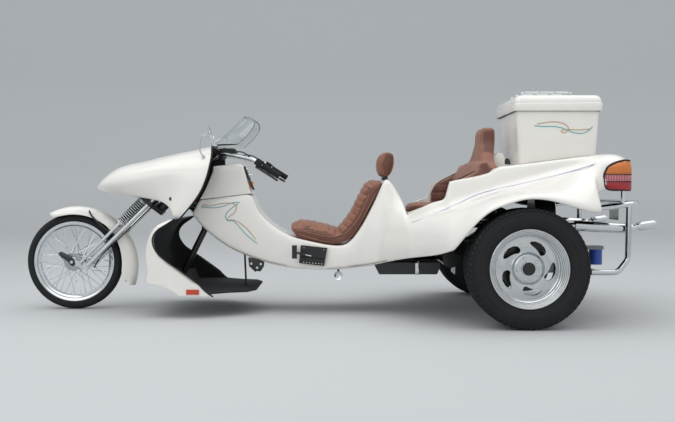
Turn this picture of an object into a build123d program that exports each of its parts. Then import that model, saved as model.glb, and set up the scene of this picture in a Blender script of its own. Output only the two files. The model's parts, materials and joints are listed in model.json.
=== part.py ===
from build123d import *
from math import cos, sin, radians, degrees, atan2
import os

# Motor trike: one spoked wheel in a raked springer fork at the front, two wide road wheels
# under a moulded white body at the back, and an air-cooled flat four behind the rear axle.
# The nose points along -X, the rider's left is -Y, and Z is up from the ground.
# The origin is on the ground, halfway along and halfway across.

os.makedirs("parts", exist_ok=True)

# Whole vehicle
FRONT_AXLE_X = -1535.0
REAR_AXLE_X = 1043.0
SKIN = 8.0                  # moulded body wall
SEAT_GAP = 0.3              # soft pieces lie this far off what carries them
FIT_GAP = 0.3               # between round pieces of one body
RUN_GAP = 0.1               # radial play of an axle in its bore

# Front wheel, 18 inch rim
FRONT_TYRE_R = 289.0
FRONT_TYRE_W = 70.0
FRONT_RIM_R = 241.0
FRONT_SEAT_R = 228.0
FRONT_RIM_W = 56.0
FRONT_RIM_T = 7.0
FRONT_HUB_R = 26.0
FRONT_FLANGE_R = 44.0
FRONT_FLANGE_T = 6.0
FRONT_HUB_W = 108.0
FRONT_AXLE_R = 9.0
SPOKE_PAIRS = 20
SPOKE_W = 4.4

# Rear wheels, 15 inch rim
REAR_TYRE_R = 315.0
REAR_TYRE_W = 250.0
REAR_TREAD_W = 214.0
REAR_RIM_R = 208.0
REAR_SEAT_R = 190.0
REAR_RIM_W = 214.0
REAR_RIM_T = 8.0
REAR_MID_Y = 735.0
WHEEL_FACE_Y = 792.0        # outer face of the slotted disc
DISC_T = 12.0
SLOTS = 5
TYRE_T = 12.0
TYRE_FLATS = 48
DRUM_R = 124.0
DRUM_W = 60.0
AXLE_TUBE_R = 38.0
STUB_R = 24.0

# Steering head and springer fork, measured along and ahead of the steering axis
RAKE = 45.0
TRAIL_REACH = 88.0          # where the axis meets the ground, ahead of the tyre's foot
STEM_R = 16.0
HEAD_R = 31.0
HEAD_LOW = 862.0
HEAD_HIGH = 1100.0
CROWN_T = 26.0
LEG_Y = 84.0
LEG_R = 14.0
LEG_AHEAD = 60.0
SPRING_LEG_R = 10.0
SPRING_LEG_AHEAD = 102.0
SPRING_R = 22.0             # to the wire's middle
SPRING_WIRE_R = 3.6
SPRING_COILS = 12
COIL_STEPS = 10             # straight runs to a turn
SPRING_LOW = 655.0
SPRING_HIGH = 829.0
ROCKER_T = 12.0
ROCKER_W = 34.0
ROCKER_Y = 57.5
PIVOT_R = 7.0
BAR_R = 12.5
RISER_R = 11.0
RISER_Y = 46.0
BAR_X = -640.0              # the bar's middle, pulled back behind the steering axis
BAR_Z = 925.0
GRIP_R = 17.0
GRIP_LENGTH = 118.0

# Front mudguard
GUARD_X = -1514.0
GUARD_Z = 262.0
GUARD_R = 363.0
GUARD_INNER_R = 283.0
GUARD_HALF = 58.0
GUARD_T = 4.0
GUARD_CROWN = [(-58, 42), (-46, 22), (-26, 6), (0, 0), (26, 6), (46, 22), (58, 42)]

# Engine cylinders and their fins
CYLINDER_X = (1266.0, 1392.0)
CYLINDER_R = 42.0
FIN_R = 58.0
FIN_T = 5.0
FIN_COUNT = 11
FIN_PITCH = 16.0
FIN_INNER_Y = 142.0
FIN_OUTER_Y = 330.0
# Trunk
BOX_TOP = 1180.0
LID_GAP = 0.5
HINGE_X = 1066.0
HINGE_Z = 1163.0
HINGE_R = 5.0
PIN_R = 3.0
KNUCKLE = 36.0
HINGE_Y = 200.0
RACK_Z = 1298.0
RACK_R = 6.0


def keep(part, name):
    """Label a finished piece and write it."""
    part.label = name
    export_step(part, f"parts/{name}.step")


def on_fork(along, ahead=0.0, side=0.0):
    """A point given along the steering axis from the ground, ahead of it and across."""
    s, c = sin(radians(RAKE)), cos(radians(RAKE))
    return Vector(FRONT_AXLE_X - TRAIL_REACH + along * s - ahead * c, side, along * c + ahead * s)


def fork_plane(along, ahead=0.0, side=0.0):
    """A plane square to the steering axis: its x runs ahead and its y to the rider's left."""
    s, c = sin(radians(RAKE)), cos(radians(RAKE))
    return Plane(origin=on_fork(along, ahead, side), x_dir=(-c, 0, s), z_dir=(s, 0, c))


def tube(points, radius, bend=0.0, bore=0.0):
    """A round tube through the points, its corners turned at the bend radius."""
    with BuildPart() as run:
        with BuildLine() as path:
            if bend:
                FilletPolyline(*points, radius=bend)
            else:
                Polyline(*points)
        with BuildSketch(Plane(origin=path.line @ 0, z_dir=path.line % 0)):
            Circle(radius)
            if bore:
                Circle(bore, mode=Mode.SUBTRACT)
        sweep(transition=Transition.ROUND)
    return run.part


def flat_tyre(hub, middle, outside, inside):
    """A hollow tyre of flats round an axle along Y. Its rows, from the bead up, are half-width and radius."""
    section = outside + [(-y, r) for y, r in reversed(outside)]
    section += [(-y, r) for y, r in inside] + [(y, r) for y, r in reversed(inside)]
    spots = []
    for y, r in section:
        turns = [radians(360 * k / TYRE_FLATS) for k in range(TYRE_FLATS)]
        spots.append([hub + Vector(r * sin(turn), middle + y, -r * cos(turn)) for turn in turns])
    flats = []
    for near, far in zip(spots, spots[1:] + spots[:1]):
        for k in range(TYRE_FLATS):
            corners = [near[k - 1], near[k], far[k], far[k - 1]]
            flats.append(Face(Wire.make_polygon(corners)))
    return Solid(Shell(flats))


def block(outline, half, plan=None, section=None, inset=0.0):
    """A side outline made half as wide each way, then cut to a plan and a cross-section."""
    with BuildPart() as blank:
        with BuildSketch(Plane.XZ):
            with BuildLine():
                Polyline(*outline, close=True)
            make_face()
            if inset:
                offset(amount=-inset, kind=Kind.INTERSECTION)
        extrude(amount=half - inset, both=True)
        if plan:
            with BuildSketch(Plane.XY):
                with BuildLine():
                    Polyline(*plan, *[(x, -y) for x, y in reversed(plan)], close=True)
                make_face()
                if inset:
                    offset(amount=-inset, kind=Kind.INTERSECTION)
            extrude(amount=1500, mode=Mode.INTERSECT)
        if section:
            with BuildSketch(Plane.YZ):
                with BuildLine():
                    Polyline(*section, *[(-y, z) for y, z in reversed(section)], close=True)
                make_face()
                if inset:
                    offset(amount=-inset, kind=Kind.INTERSECTION)
            extrude(amount=2000, both=True, mode=Mode.INTERSECT)
    return blank.part


# Front wheel
front_hub = Vector(FRONT_AXLE_X, 0, FRONT_TYRE_R)
front_section = Plane(front_hub, x_dir=(0, 1, 0), z_dir=(-1, 0, 0))
front_axis = Axis(front_hub, (0, 1, 0))

foot = (FRONT_SEAT_R + FIT_GAP) / cos(radians(180 / TYRE_FLATS))
bead = FRONT_RIM_W / 2 - FRONT_RIM_T - FIT_GAP
side = FRONT_TYRE_W / 2
outside = [
    (bead, foot), (bead, FRONT_RIM_R + 2), (side, FRONT_RIM_R + 13), (0.86 * side, FRONT_TYRE_R - 17),
    (0.5 * side, FRONT_TYRE_R - 4), (0.12 * side, FRONT_TYRE_R),
]
inside = [(bead - 8, foot), (bead - 8, FRONT_RIM_R + 8), (side - TYRE_T, FRONT_RIM_R + 16), (6, FRONT_TYRE_R - TYRE_T)]
front_tyre = flat_tyre(front_hub, 0, outside, inside)
keep(front_tyre, "front_tyre")

with BuildPart() as front_wheel:
    with BuildSketch(front_section):
        with BuildLine():
            rim = FRONT_RIM_W / 2
            well = FRONT_SEAT_R - 14
            Polyline(
                (-rim, FRONT_RIM_R), (-rim, FRONT_SEAT_R - FRONT_RIM_T), (-14, well - FRONT_RIM_T),
                (14, well - FRONT_RIM_T), (rim, FRONT_SEAT_R - FRONT_RIM_T), (rim, FRONT_RIM_R),
                (rim - 5, FRONT_RIM_R), (rim - FRONT_RIM_T, FRONT_SEAT_R), (12, well),
                (-12, well), (FRONT_RIM_T - rim, FRONT_SEAT_R), (5 - rim, FRONT_RIM_R), close=True,
            )
        make_face()
    revolve(axis=front_axis)
    for turn in range(SPOKE_PAIRS * 2):
        flank = 1 if turn % 2 else -1
        lean = 1 if turn % 4 < 2 else -1
        angle = radians(turn * 180 / SPOKE_PAIRS)
        hub_angle = angle + lean * radians(62)
        low = Vector(
            FRONT_AXLE_X + (FRONT_FLANGE_R - 5) * cos(hub_angle),
            flank * (FRONT_HUB_W / 2 - 8 - 3),
            FRONT_TYRE_R + (FRONT_FLANGE_R - 5) * sin(hub_angle),
        )
        high = Vector(
            FRONT_AXLE_X + (well - 3) * cos(angle), flank * 6, FRONT_TYRE_R + (well - 3) * sin(angle)
        )
        run = high - low
        with BuildSketch(Plane(low, z_dir=run.normalized())):
            Rectangle(SPOKE_W, SPOKE_W)
        extrude(amount=run.length)
    with BuildSketch(front_section):
        with BuildLine():
            end = FRONT_HUB_W / 2
            lug = end - 8
            Polyline(
                (-end, 0), (-end, FRONT_HUB_R), (-lug, FRONT_HUB_R), (-lug, FRONT_FLANGE_R),
                (FRONT_FLANGE_T - lug, FRONT_FLANGE_R), (FRONT_FLANGE_T - lug, FRONT_HUB_R),
                (lug - FRONT_FLANGE_T, FRONT_HUB_R), (lug - FRONT_FLANGE_T, FRONT_FLANGE_R),
                (lug, FRONT_FLANGE_R), (lug, FRONT_HUB_R), (end, FRONT_HUB_R), (end, 0), close=True,
            )
        make_face()
    revolve(axis=front_axis)
    with Locations(Plane(front_hub, z_dir=(0, 1, 0))):
        Cylinder(FRONT_AXLE_R + RUN_GAP, FRONT_HUB_W + 2, mode=Mode.SUBTRACT)
keep(front_wheel.part, "front_wheel")

# Springer fork
leg_foot = on_fork(310, LEG_AHEAD)
spring_foot = on_fork(291, SPRING_LEG_AHEAD)

with BuildPart() as fork_crowns:
    for low in (HEAD_LOW - CROWN_T - 1, HEAD_HIGH + 1):
        with BuildSketch(fork_plane(low)):
            with BuildLine():
                reach = LEG_AHEAD + 24
                wide = LEG_Y + 24
                Polyline((-34, 30), (-34, -30), (LEG_AHEAD - 20, -wide), (reach, -wide), (reach, wide),
                         (LEG_AHEAD - 20, wide), close=True)
            make_face()
            with Locations((LEG_AHEAD, LEG_Y), (LEG_AHEAD, -LEG_Y)):
                Circle(LEG_R + FIT_GAP, mode=Mode.SUBTRACT)
        extrude(amount=CROWN_T)
    with BuildSketch(fork_plane(HEAD_LOW - CROWN_T - 1)):
        with Locations((LEG_AHEAD + 40, LEG_Y), (LEG_AHEAD + 40, -LEG_Y)):
            Rectangle(56, 56)
    extrude(amount=CROWN_T / 2)
    with BuildSketch(fork_plane(HEAD_LOW - CROWN_T - 1)):
        Circle(STEM_R)
    extrude(amount=HEAD_HIGH - HEAD_LOW + 2 * CROWN_T + 2)
    with BuildSketch(fork_plane(HEAD_LOW - CROWN_T - 2)):
        with Locations((SPRING_LEG_AHEAD, LEG_Y), (SPRING_LEG_AHEAD, -LEG_Y)):
            Circle(SPRING_LEG_R + FIT_GAP)
        with Locations((LEG_AHEAD, LEG_Y), (LEG_AHEAD, -LEG_Y)):
            Circle(LEG_R + FIT_GAP)
    extrude(amount=CROWN_T + 3, mode=Mode.SUBTRACT)
keep(fork_crowns.part, "fork_crowns")

with BuildPart() as fork_rear_legs:
    for hand in (-1, 1):
        with BuildSketch(fork_plane(310, LEG_AHEAD, hand * LEG_Y)):
            Circle(LEG_R)
        extrude(amount=HEAD_HIGH + 1 + CROWN_T - 310)
        stay = on_fork(560, LEG_AHEAD)
        with Locations(Plane((stay.X, hand * (GUARD_HALF + FIT_GAP + 10), stay.Z), z_dir=(0, 1, 0))):
            Cylinder(8, 20)
        with Locations(Plane(leg_foot + Vector(0, hand * LEG_Y, 0), z_dir=(0, 1, 0))):
            Cylinder(17, 2 * LEG_R)
            Cylinder(PIVOT_R + RUN_GAP, 4 * LEG_R, mode=Mode.SUBTRACT)
keep(fork_rear_legs.part, "fork_rear_legs")

with BuildPart() as fork_spring_legs:
    for hand in (-1, 1):
        with BuildSketch(fork_plane(291, SPRING_LEG_AHEAD, hand * LEG_Y)):
            Circle(SPRING_LEG_R)
        extrude(amount=HEAD_LOW + 8 - 291)
        with BuildSketch(fork_plane(SPRING_LOW - 8 - FIT_GAP, SPRING_LEG_AHEAD, hand * LEG_Y)):
            Circle(SPRING_R + 3)
        extrude(amount=8)
        with Locations(Plane(spring_foot + Vector(0, hand * LEG_Y, 0), z_dir=(0, 1, 0))):
            Cylinder(15, 2 * SPRING_LEG_R)
            Cylinder(PIVOT_R + RUN_GAP, 4 * LEG_R, mode=Mode.SUBTRACT)
keep(fork_spring_legs.part, "fork_spring_legs")

spring_run = SPRING_HIGH - SPRING_LOW - 2 * SPRING_WIRE_R
turns = []
for step in range(SPRING_COILS * COIL_STEPS + 1):
    turn = radians(360 * step / COIL_STEPS)
    height = spring_run * step / (SPRING_COILS * COIL_STEPS)
    turns.append((SPRING_R * cos(turn), SPRING_R * sin(turn), height))
coil = Polyline(*turns)
wire = sweep(Plane(coil @ 0, z_dir=coil % 0) * RegularPolygon(SPRING_WIRE_R, 4), path=coil, transition=Transition.RIGHT)
springs = []
for hand in (-1, 1):
    springs.append(fork_plane(SPRING_LOW + SPRING_WIRE_R, SPRING_LEG_AHEAD, hand * LEG_Y).location * wire)
fork_springs = Compound(children=springs)
keep(fork_springs, "fork_springs")

rocker_run = Vector(front_hub.X - leg_foot.X, 0, front_hub.Z - leg_foot.Z)
rocker_turn = degrees(atan2(rocker_run.Z, rocker_run.X))
with BuildPart() as fork_rockers:
    for hand in (-1, 1):
        face = Plane((0, hand * ROCKER_Y, 0), x_dir=(1, 0, 0), z_dir=(0, -1, 0))
        with BuildSketch(face):
            with Locations(((leg_foot.X + front_hub.X) / 2, (leg_foot.Z + front_hub.Z) / 2)):
                SlotCenterToCenter(rocker_run.length, ROCKER_W, rotation=rocker_turn)
        extrude(amount=-hand * ROCKER_T)
        for foot, half in ((leg_foot, LEG_R), (spring_foot, SPRING_LEG_R)):
            with BuildSketch(face):
                with Locations((foot.X, foot.Z)):
                    Circle(PIVOT_R)
            extrude(amount=-hand * (LEG_Y + half + 1 - ROCKER_Y))
            with BuildSketch(face.offset(-hand * (LEG_Y + half + 1 - ROCKER_Y))):
                with Locations((foot.X, foot.Z)):
                    RegularPolygon(12, 6)
            extrude(amount=-hand * 7)
    with Locations(Plane(front_hub, z_dir=(0, 1, 0))):
        Cylinder(FRONT_AXLE_R, 2 * (ROCKER_Y + ROCKER_T + 14))
keep(fork_rockers.part, "fork_rockers")

# Front mudguard: a curved channel over the wheel, cut away over the tyre's flanks
guard_mid = Vector(GUARD_X, 0, GUARD_Z)
with BuildPart() as front_fender:
    with BuildSketch(Plane(guard_mid, x_dir=(0, 1, 0), z_dir=(-1, 0, 0))):
        with BuildLine():
            crown = Polyline(*[(y, GUARD_R - drop) for y, drop in GUARD_CROWN])
            under = Polyline(*[(y * (GUARD_HALF - GUARD_T) / GUARD_HALF, GUARD_R - GUARD_T - drop) for y, drop in GUARD_CROWN])
            Polyline(crown @ 1, (GUARD_HALF, GUARD_R - 130), (GUARD_HALF - GUARD_T, GUARD_R - 130), under @ 1)
            Polyline(crown @ 0, (-GUARD_HALF, GUARD_R - 130), (GUARD_T - GUARD_HALF, GUARD_R - 130), under @ 0)
        make_face()
    revolve(axis=Axis(guard_mid, (0, 1, 0)))
    with BuildSketch(Plane.XZ):
        with BuildLine():
            Polyline((-1700, 572), (-1627, 560), (-1560, 520), (-1535, 400), (-1300, 289), (-1215, 172),
                     (-1186, 150), (-1100, 150), (-1100, 700), (-1700, 700), close=True)
        make_face()
        with Locations((FRONT_AXLE_X, FRONT_TYRE_R)):
            Circle(GUARD_INNER_R, mode=Mode.SUBTRACT)
    extrude(amount=GUARD_HALF + 5, both=True, mode=Mode.INTERSECT)
keep(front_fender.part, "front_fender")

# Handlebar on two risers, grips and the gauge pod, all turning with the fork
with BuildPart() as handlebar:
    half_bar = [(BAR_X, 0, BAR_Z), (BAR_X, -105, BAR_Z), (-560, -225, 922), (-420, -315, 893), (-271, -350, 797)]
    for hand in (1, -1):
        add(tube([(x, hand * y, z) for x, y, z in half_bar], BAR_R, 38))
    for hand in (-1, 1):
        foot = on_fork(HEAD_HIGH + CROWN_T + 1.3, 0, hand * RISER_Y)
        knee = on_fork(HEAD_HIGH + CROWN_T + 110, 0, hand * RISER_Y)
        add(tube([tuple(foot), tuple(knee), (BAR_X, hand * RISER_Y, BAR_Z)], RISER_R, 30))
keep(handlebar.part, "handlebar")

grip_end = Vector(-271, 350, 797)
grip_way = (grip_end - Vector(-420, 315, 893)).normalized()
with BuildPart() as grips:
    for hand in (-1, 1):
        start = grip_end - grip_way * GRIP_LENGTH
        way = Vector(grip_way.X, hand * grip_way.Y, grip_way.Z)
        with BuildSketch(Plane((start.X, hand * start.Y, start.Z), z_dir=way)):
            Circle(GRIP_R)
            Circle(BAR_R + FIT_GAP, mode=Mode.SUBTRACT)
        extrude(amount=GRIP_LENGTH)
        with BuildSketch(Plane((start.X, hand * start.Y, start.Z), z_dir=way)):
            Circle(GRIP_R + 6)
            Circle(BAR_R + FIT_GAP, mode=Mode.SUBTRACT)
        extrude(amount=-34)
keep(grips.part, "grips")

with BuildPart() as gauge_pod:
    foot = BAR_Z + BAR_R + FIT_GAP
    with BuildSketch(Plane.XZ):
        with BuildLine():
            Polyline((-655, foot), (-650, 970), (-566, 970), (-550, foot + 10), (-562, foot), close=True)
        make_face()
    extrude(amount=60, both=True)
keep(gauge_pod.part, "gauge_pod")

# Nose cowl
COWL_SIDE = [
    (-1388, 729), (-1373, 759), (-1280, 847), (-1202, 877), (-1070, 897), (-965, 927), (-807, 956),
    (-697, 984), (-682, 974), (-670, 912), (-677, 814), (-705, 727), (-748, 647), (-791, 591), (-840, 554),
    (-886, 556), (-901, 613), (-939, 645), (-1003, 661), (-1104, 674), (-1218, 692), (-1306, 708),
]
COWL_PLAN = [(-1400, 150), (-1300, 215), (-1150, 280), (-950, 325), (-750, 345), (-600, 350)]
COWL_SECTION = [(352, 500), (352, 790), (335, 860), (290, 915), (200, 960), (90, 984)]
LAMP_WINDOW = (104.0, 236.0)

lamp_face = Plane((-1326.5, 0, 803), x_dir=(93, 0, 88), z_dir=(-88, 0, 93))
with BuildPart() as nose_cowl:
    add(block(COWL_SIDE, 350, COWL_PLAN, COWL_SECTION))
    inner = block(COWL_SIDE, 350, COWL_PLAN, COWL_SECTION, SKIN)
    add(inner, mode=Mode.SUBTRACT)
    add(Pos(0, 0, -14) * inner, mode=Mode.SUBTRACT)
    add(Pos(22, 0, 0) * inner, mode=Mode.SUBTRACT)
    with BuildSketch(lamp_face.offset(-40)):
        RectangleRounded(*LAMP_WINDOW, 14)
    extrude(amount=60, mode=Mode.SUBTRACT)
keep(nose_cowl.part, "nose_cowl")

with BuildPart() as headlamp_cover:
    with BuildSketch(lamp_face.offset(-4)):
        RectangleRounded(LAMP_WINDOW[0] - 2 * FIT_GAP, LAMP_WINDOW[1] - 2 * FIT_GAP, 13.7)
    extrude(amount=3.5)
keep(headlamp_cover.part, "headlamp_cover")

with BuildPart() as headlamps:
    for hand in (-1, 1):
        with BuildSketch(Plane((-1304, hand * 58, 770), z_dir=(1, 0, 0))):
            Circle(40)
        extrude(amount=52, taper=18)
    with Locations((-1250, 0, 766)):
        Box(8, 451.8, 40)
keep(headlamps.part, "headlamps")

# Leg shields: a front wall wrapped round to a low cheek each side
SHIELD_SIDE = [
    (-968, 520), (-998, 484), (-1020, 423), (-1038, 363), (-1035, 320), (-1024, 277), (-1025, 253), (-1044, 222),
    (-1041, 198), (-986, 192), (-895, 186), (-864, 156), (-840, 128), (-639, 122), (-635, 127), (-701, 177),
    (-774, 232), (-859, 292), (-920, 350), (-940, 437), (-930, 492), (-905, 540),
]
SHIELD_PLAN = [(-1060, 250), (-1040, 330), (-990, 390), (-900, 425), (-630, 430)]
with BuildPart() as leg_shields:
    add(block(SHIELD_SIDE, 430, SHIELD_PLAN))
    add(block([(-1030, 100), (-1030, 600), (-600, 600), (-600, 100)], 425,
              [(x + SKIN, y - SKIN) for x, y in SHIELD_PLAN]), mode=Mode.SUBTRACT)
keep(leg_shields.part, "leg_shields")

# Floor pan: toe board, ramp and the plate under the rider's feet
FLOOR_T = 9.0
with BuildPart() as floorboard:
    with BuildSketch(Plane.XZ):
        with BuildLine():
            Polyline((-1029.7, 200), (-1029.7, 209), (-872, 209), (-846, 145), (-400, 145), (-400, 136), (-852, 136),
                     (-878, 200), close=True)
        make_face()
    extrude(amount=430, both=True)
    with BuildSketch(Plane.XY):
        with BuildLine():
            plan = [(-1029.7, 324), (-982.3, 381.2), (-892.3, 416.4), (-660, 421), (-560, 345), (-460, 310), (-417, 210)]
            Polyline(*plan, *[(x, -y) for x, y in reversed(plan)], close=True)
        make_face()
    extrude(amount=400, mode=Mode.INTERSECT)
keep(floorboard.part, "floorboard")

# White body: neck, seat cradle, tub walls, deck and rear mudguards in one hollow moulding
NECK_SIDE = [
    (-757, 663), (-444, 701), (-421, 611), (-376, 553), (-324, 508), (-261, 470), (-199, 443), (-98, 420),
    (-9, 400), (68, 394), (116, 406), (157, 448), (205, 519), (258, 620), (300, 709), (330, 786), (351, 786),
    (381, 762), (405, 714), (429, 687), (441, 654), (447, 582), (455, 500), (455, 345), (265, 280), (139, 262),
    (-16, 250), (-144, 254), (-246, 264), (-361, 286), (-476, 324), (-579, 369), (-674, 433), (-757, 509),
    (-802, 574),
]
NECK_PLAN = [(-820, 140), (-450, 150), (-260, 190), (-170, 222), (30, 222), (480, 228)]
WALL_HALF = 486.0
WALL_SIDE = [
    (560, 640), (649, 669), (675, 768), (739, 782), (834, 800), (891, 816), (920, 840), (1060, 862), (1500, 918.3),
    (1500, 740), (1300, 700), (700, 560), (560, 560),
]
TAIL_SIDE = [
    (1300, 720), (1300, 892.7), (1500, 918.3), (1545, 924), (1599, 915), (1629, 891), (1632, 718), (1451, 716),
    (1388, 690),
]
TAIL_PLAN = [(1290, 500), (1380, 590), (1440, 640), (1560, 655), (1600, 650), (1640, 610)]
TAIL_SECTION = [(656, 600), (656, 845), (636, 878), (580, 902), (486, 930)]
ARCH = [
    (590, 200), (600, 330), (626, 390), (661, 404), (687, 437), (724, 489), (776, 556), (838, 609), (916, 640),
    (994, 666), (1072, 676), (1124, 669), (1202, 650), (1281, 624), (1348, 603), (1500, 596), (1500, 200),
]
# Each flank section: x, its foot, then shoulder, flare and lip as half-width and height
FLANK = [
    (225, 272, 200, 470, 222, 430, 228, 330),
    (400, 338, 330, 566, 390, 500, 412, 410),
    (520, 355, 455, 622, 540, 540, 580, 440),
    (650, 385, 505, 668, 645, 600, 775, 470),
    (780, 470, 505, 660, 690, 650, 856, 560),
    (1043, 600, 500, 727, 705, 722, 862, 692),
    (1300, 590, 500, 809, 690, 770, 858, 640),
    (1440, 590, 500, 866, 640, 790, 800, 622),
]


def flank(hand, inset=0.0):
    """One side of the body lofted through its sections, drawn in by the inset."""
    drop = 60 if inset else 0
    rings = []
    for x, foot, y1, z1, y2, z2, y3, z3 in FLANK:
        with BuildSketch(Plane((x, 0, 0), x_dir=(0, hand, 0), z_dir=(hand, 0, 0))) as ring:
            with BuildLine():
                Polyline((150, foot - drop), (150, z1 - inset), (y1 - inset / 2, z1 - inset),
                         (y2 - inset, z2 - inset), (y3 - inset, z3 - inset), (y3 - inset, foot - drop), close=True)
            make_face()
        rings.append(ring.sketch)
    return loft(rings, ruled=True)


def body_blank(inset=0.0):
    """The whole body as one solid, drawn in by the inset."""
    with BuildPart() as blank:
        add(block(NECK_SIDE, 240, NECK_PLAN, None, inset))
        add(block(WALL_SIDE, WALL_HALF, None, None, inset))
        add(block(TAIL_SIDE, 660, TAIL_PLAN, TAIL_SECTION, inset))
        for hand in (-1, 1):
            add(flank(hand, inset))
    return blank.part


TUB_PLAN = [(456, 320), (520, 420), (620, 468), (936, 468)]
TUB_T = 4.0
LAMP_INNER_Y = 575.0
LAMP_TOP = [(1475, 806), (1491, 842), (1535, 868), (1590, 880), (1640, 880), (1640, 806)]
LAMP_LOW = [(1474, 805.7), (1478, 759), (1489, 728), (1513, 722), (1640, 726), (1640, 805.7)]
LAMP_HOLE = [
    (1473.7, 806), (1477.7, 759), (1488.7, 727.7), (1513, 721.7), (1645, 725.7), (1645, 880.3), (1590, 880.3),
    (1535, 868.3), (1490.7, 842.3), (1474.7, 806.3),
]
BENCH_X0 = 600.0
RISER_SIDE = [(938, 836), (944, 880), (962, 914), (1000, 941), (1029, 941), (1062, 864), (1062, 856)]
RISER_HALF = 150.0
BENCH_Z = 560.0
WELL_Z = 400.0
WELL_END = 594.0
WELL_PLAN = [(462, 144), (462, 328), (520, 419), (WELL_END, 455), (WELL_END, 144)]
TUB_JOINTS = (461, 520, 620, 931)
WELL_JOINTS = (467, 520, 589)
BODY_JOINT_X = 455.3       # the neck and the rear are laid up apart and joined at the rider's back
with BuildPart() as lamp_holes:
    with BuildSketch(Plane.XZ):
        with BuildLine():
            Polyline(*LAMP_HOLE, close=True)
        make_face()
    extrude(amount=700, both=True)
    with Locations((1550, 0, 800)):
        Box(300, 2 * LAMP_INNER_Y, 300, mode=Mode.SUBTRACT)

with BuildPart() as main_body:
    add(body_blank())
    inner = body_blank(SKIN)
    add(inner, mode=Mode.SUBTRACT)
    add(Pos(0, 0, -20) * inner, mode=Mode.SUBTRACT)
    with BuildSketch(Plane.XZ):
        with BuildLine():
            Polyline(*ARCH, close=True)
        make_face()
    extrude(amount=1000, both=True, mode=Mode.SUBTRACT)
    with BuildSketch(Plane.XY.offset(BENCH_Z)):
        with BuildLine():
            Polyline(*TUB_PLAN, *[(x, -y) for x, y in reversed(TUB_PLAN)], close=True)
        make_face()
    extrude(amount=500, mode=Mode.SUBTRACT)
    add(lamp_holes.part, mode=Mode.SUBTRACT)
    add(block(RISER_SIDE, RISER_HALF))
    with Locations((-800, 0, 590)):
        Box(90, 264, 140, mode=Mode.SUBTRACT)
    with Locations((450, 0, 330)):
        Box(30, 90, 100, mode=Mode.SUBTRACT)
    with Locations((BODY_JOINT_X, 0, 500)):
        Box(FIT_GAP, 2000, 1200, mode=Mode.SUBTRACT)
keep(main_body.part, "main_body")

# Passenger tub: wall panels, a bench plate, a plate over the spine, and the floor and walls of two foot wells,
# set side by side as flat panels
def tub_outline(gap):
    with BuildSketch() as outline:
        with BuildLine():
            Polyline(*TUB_PLAN, *[(x, -y) for x, y in reversed(TUB_PLAN)], close=True)
        make_face()
        offset(amount=-gap, kind=Kind.INTERSECTION)
    return outline.sketch


def well_outline(hand, gap):
    with BuildSketch() as outline:
        with BuildLine():
            Polyline(*[(x, hand * y) for x, y in WELL_PLAN], close=True)
        make_face()
        offset(amount=-gap, kind=Kind.INTERSECTION)
    return outline.sketch


with BuildPart() as tub_walls:
    with BuildSketch(Plane.XY.offset(BENCH_Z + FIT_GAP)):
        add(tub_outline(FIT_GAP))
        add(tub_outline(FIT_GAP + TUB_T), mode=Mode.SUBTRACT)
    extrude(amount=500)
    add(body_blank(), mode=Mode.INTERSECT)
    for x in TUB_JOINTS:
        with Locations((x, 0, 800)):
            Box(FIT_GAP, 1000, 600, mode=Mode.SUBTRACT)
with BuildPart() as bench_plate:
    with BuildSketch(Plane.XY.offset(BENCH_Z - SKIN)):
        add(tub_outline(FIT_GAP))
        with Locations((WELL_END / 2, 0)):
            Rectangle(WELL_END + 2 * FIT_GAP, 1000, mode=Mode.SUBTRACT)
    extrude(amount=SKIN)
spine_start = TUB_PLAN[0][0] + FIT_GAP
with BuildPart() as spine_plate:
    with Locations(((spine_start + WELL_END) / 2, 0, BENCH_Z - SKIN / 2)):
        Box(WELL_END - spine_start, 2 * (WELL_PLAN[0][1] - FIT_GAP), SKIN)
pans = [tub_walls.part, bench_plate.part, spine_plate.part]
for hand in (-1, 1):
    with BuildPart() as well_floor:
        with BuildSketch(Plane.XY.offset(WELL_Z - TUB_T)):
            add(well_outline(hand, FIT_GAP))
        extrude(amount=TUB_T)
    with BuildPart() as well_walls:
        with BuildSketch(Plane.XY.offset(WELL_Z + FIT_GAP)):
            add(well_outline(hand, FIT_GAP))
            add(well_outline(hand, FIT_GAP + TUB_T), mode=Mode.SUBTRACT)
        extrude(amount=BENCH_Z - WELL_Z - FIT_GAP)
        for x in WELL_JOINTS:
            with Locations((x, 0, 500)):
                Box(FIT_GAP, 1000, 300, mode=Mode.SUBTRACT)
    pans += [well_floor.part, well_walls.part]
tub_pan = Compound(children=pans)
keep(tub_pan, "tub_pan")

# Dash pod on top of the neck
DASH_SIDE = [(-752, 664.9), (-646, 856), (-520, 880), (-449, 701.4)]
with BuildPart() as dash_pod:
    add(block(DASH_SIDE, 130))
    add(block(DASH_SIDE, 130, None, None, SKIN), mode=Mode.SUBTRACT)
keep(dash_pod.part, "dash_pod")

# Windscreen, its foot on the cowl's rear edge
SCREEN_FOOT = 984.3
SCREEN_T = 4.0
SCREEN_PLAN = [(-529, -200), (-590, -170), (-651, -113), (-688, -50), (-698, 0), (-688, 50), (-651, 113), (-590, 170),
               (-529, 200)]
with BuildPart() as windscreen:
    with BuildSketch(Plane.XY.offset(SCREEN_FOOT)):
        with BuildLine():
            front = Polyline(*[(x, y) for x, y in SCREEN_PLAN])
            back = Polyline(*[(x + SCREEN_T, y * 0.98) for x, y in SCREEN_PLAN])
            Line(front @ 0, back @ 0)
            Line(front @ 1, back @ 1)
        make_face()
    extrude(amount=260, dir=(199, 0, 174))
    with BuildSketch(Plane.XZ):
        with BuildLine():
            Polyline((-720, 980), (-500, 980), (-446, 1042), (-436, 1094), (-497, 1157), (-720, 1157), close=True)
        make_face()
    extrude(amount=210, both=True, mode=Mode.INTERSECT)
keep(windscreen.part, "windscreen")

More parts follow.
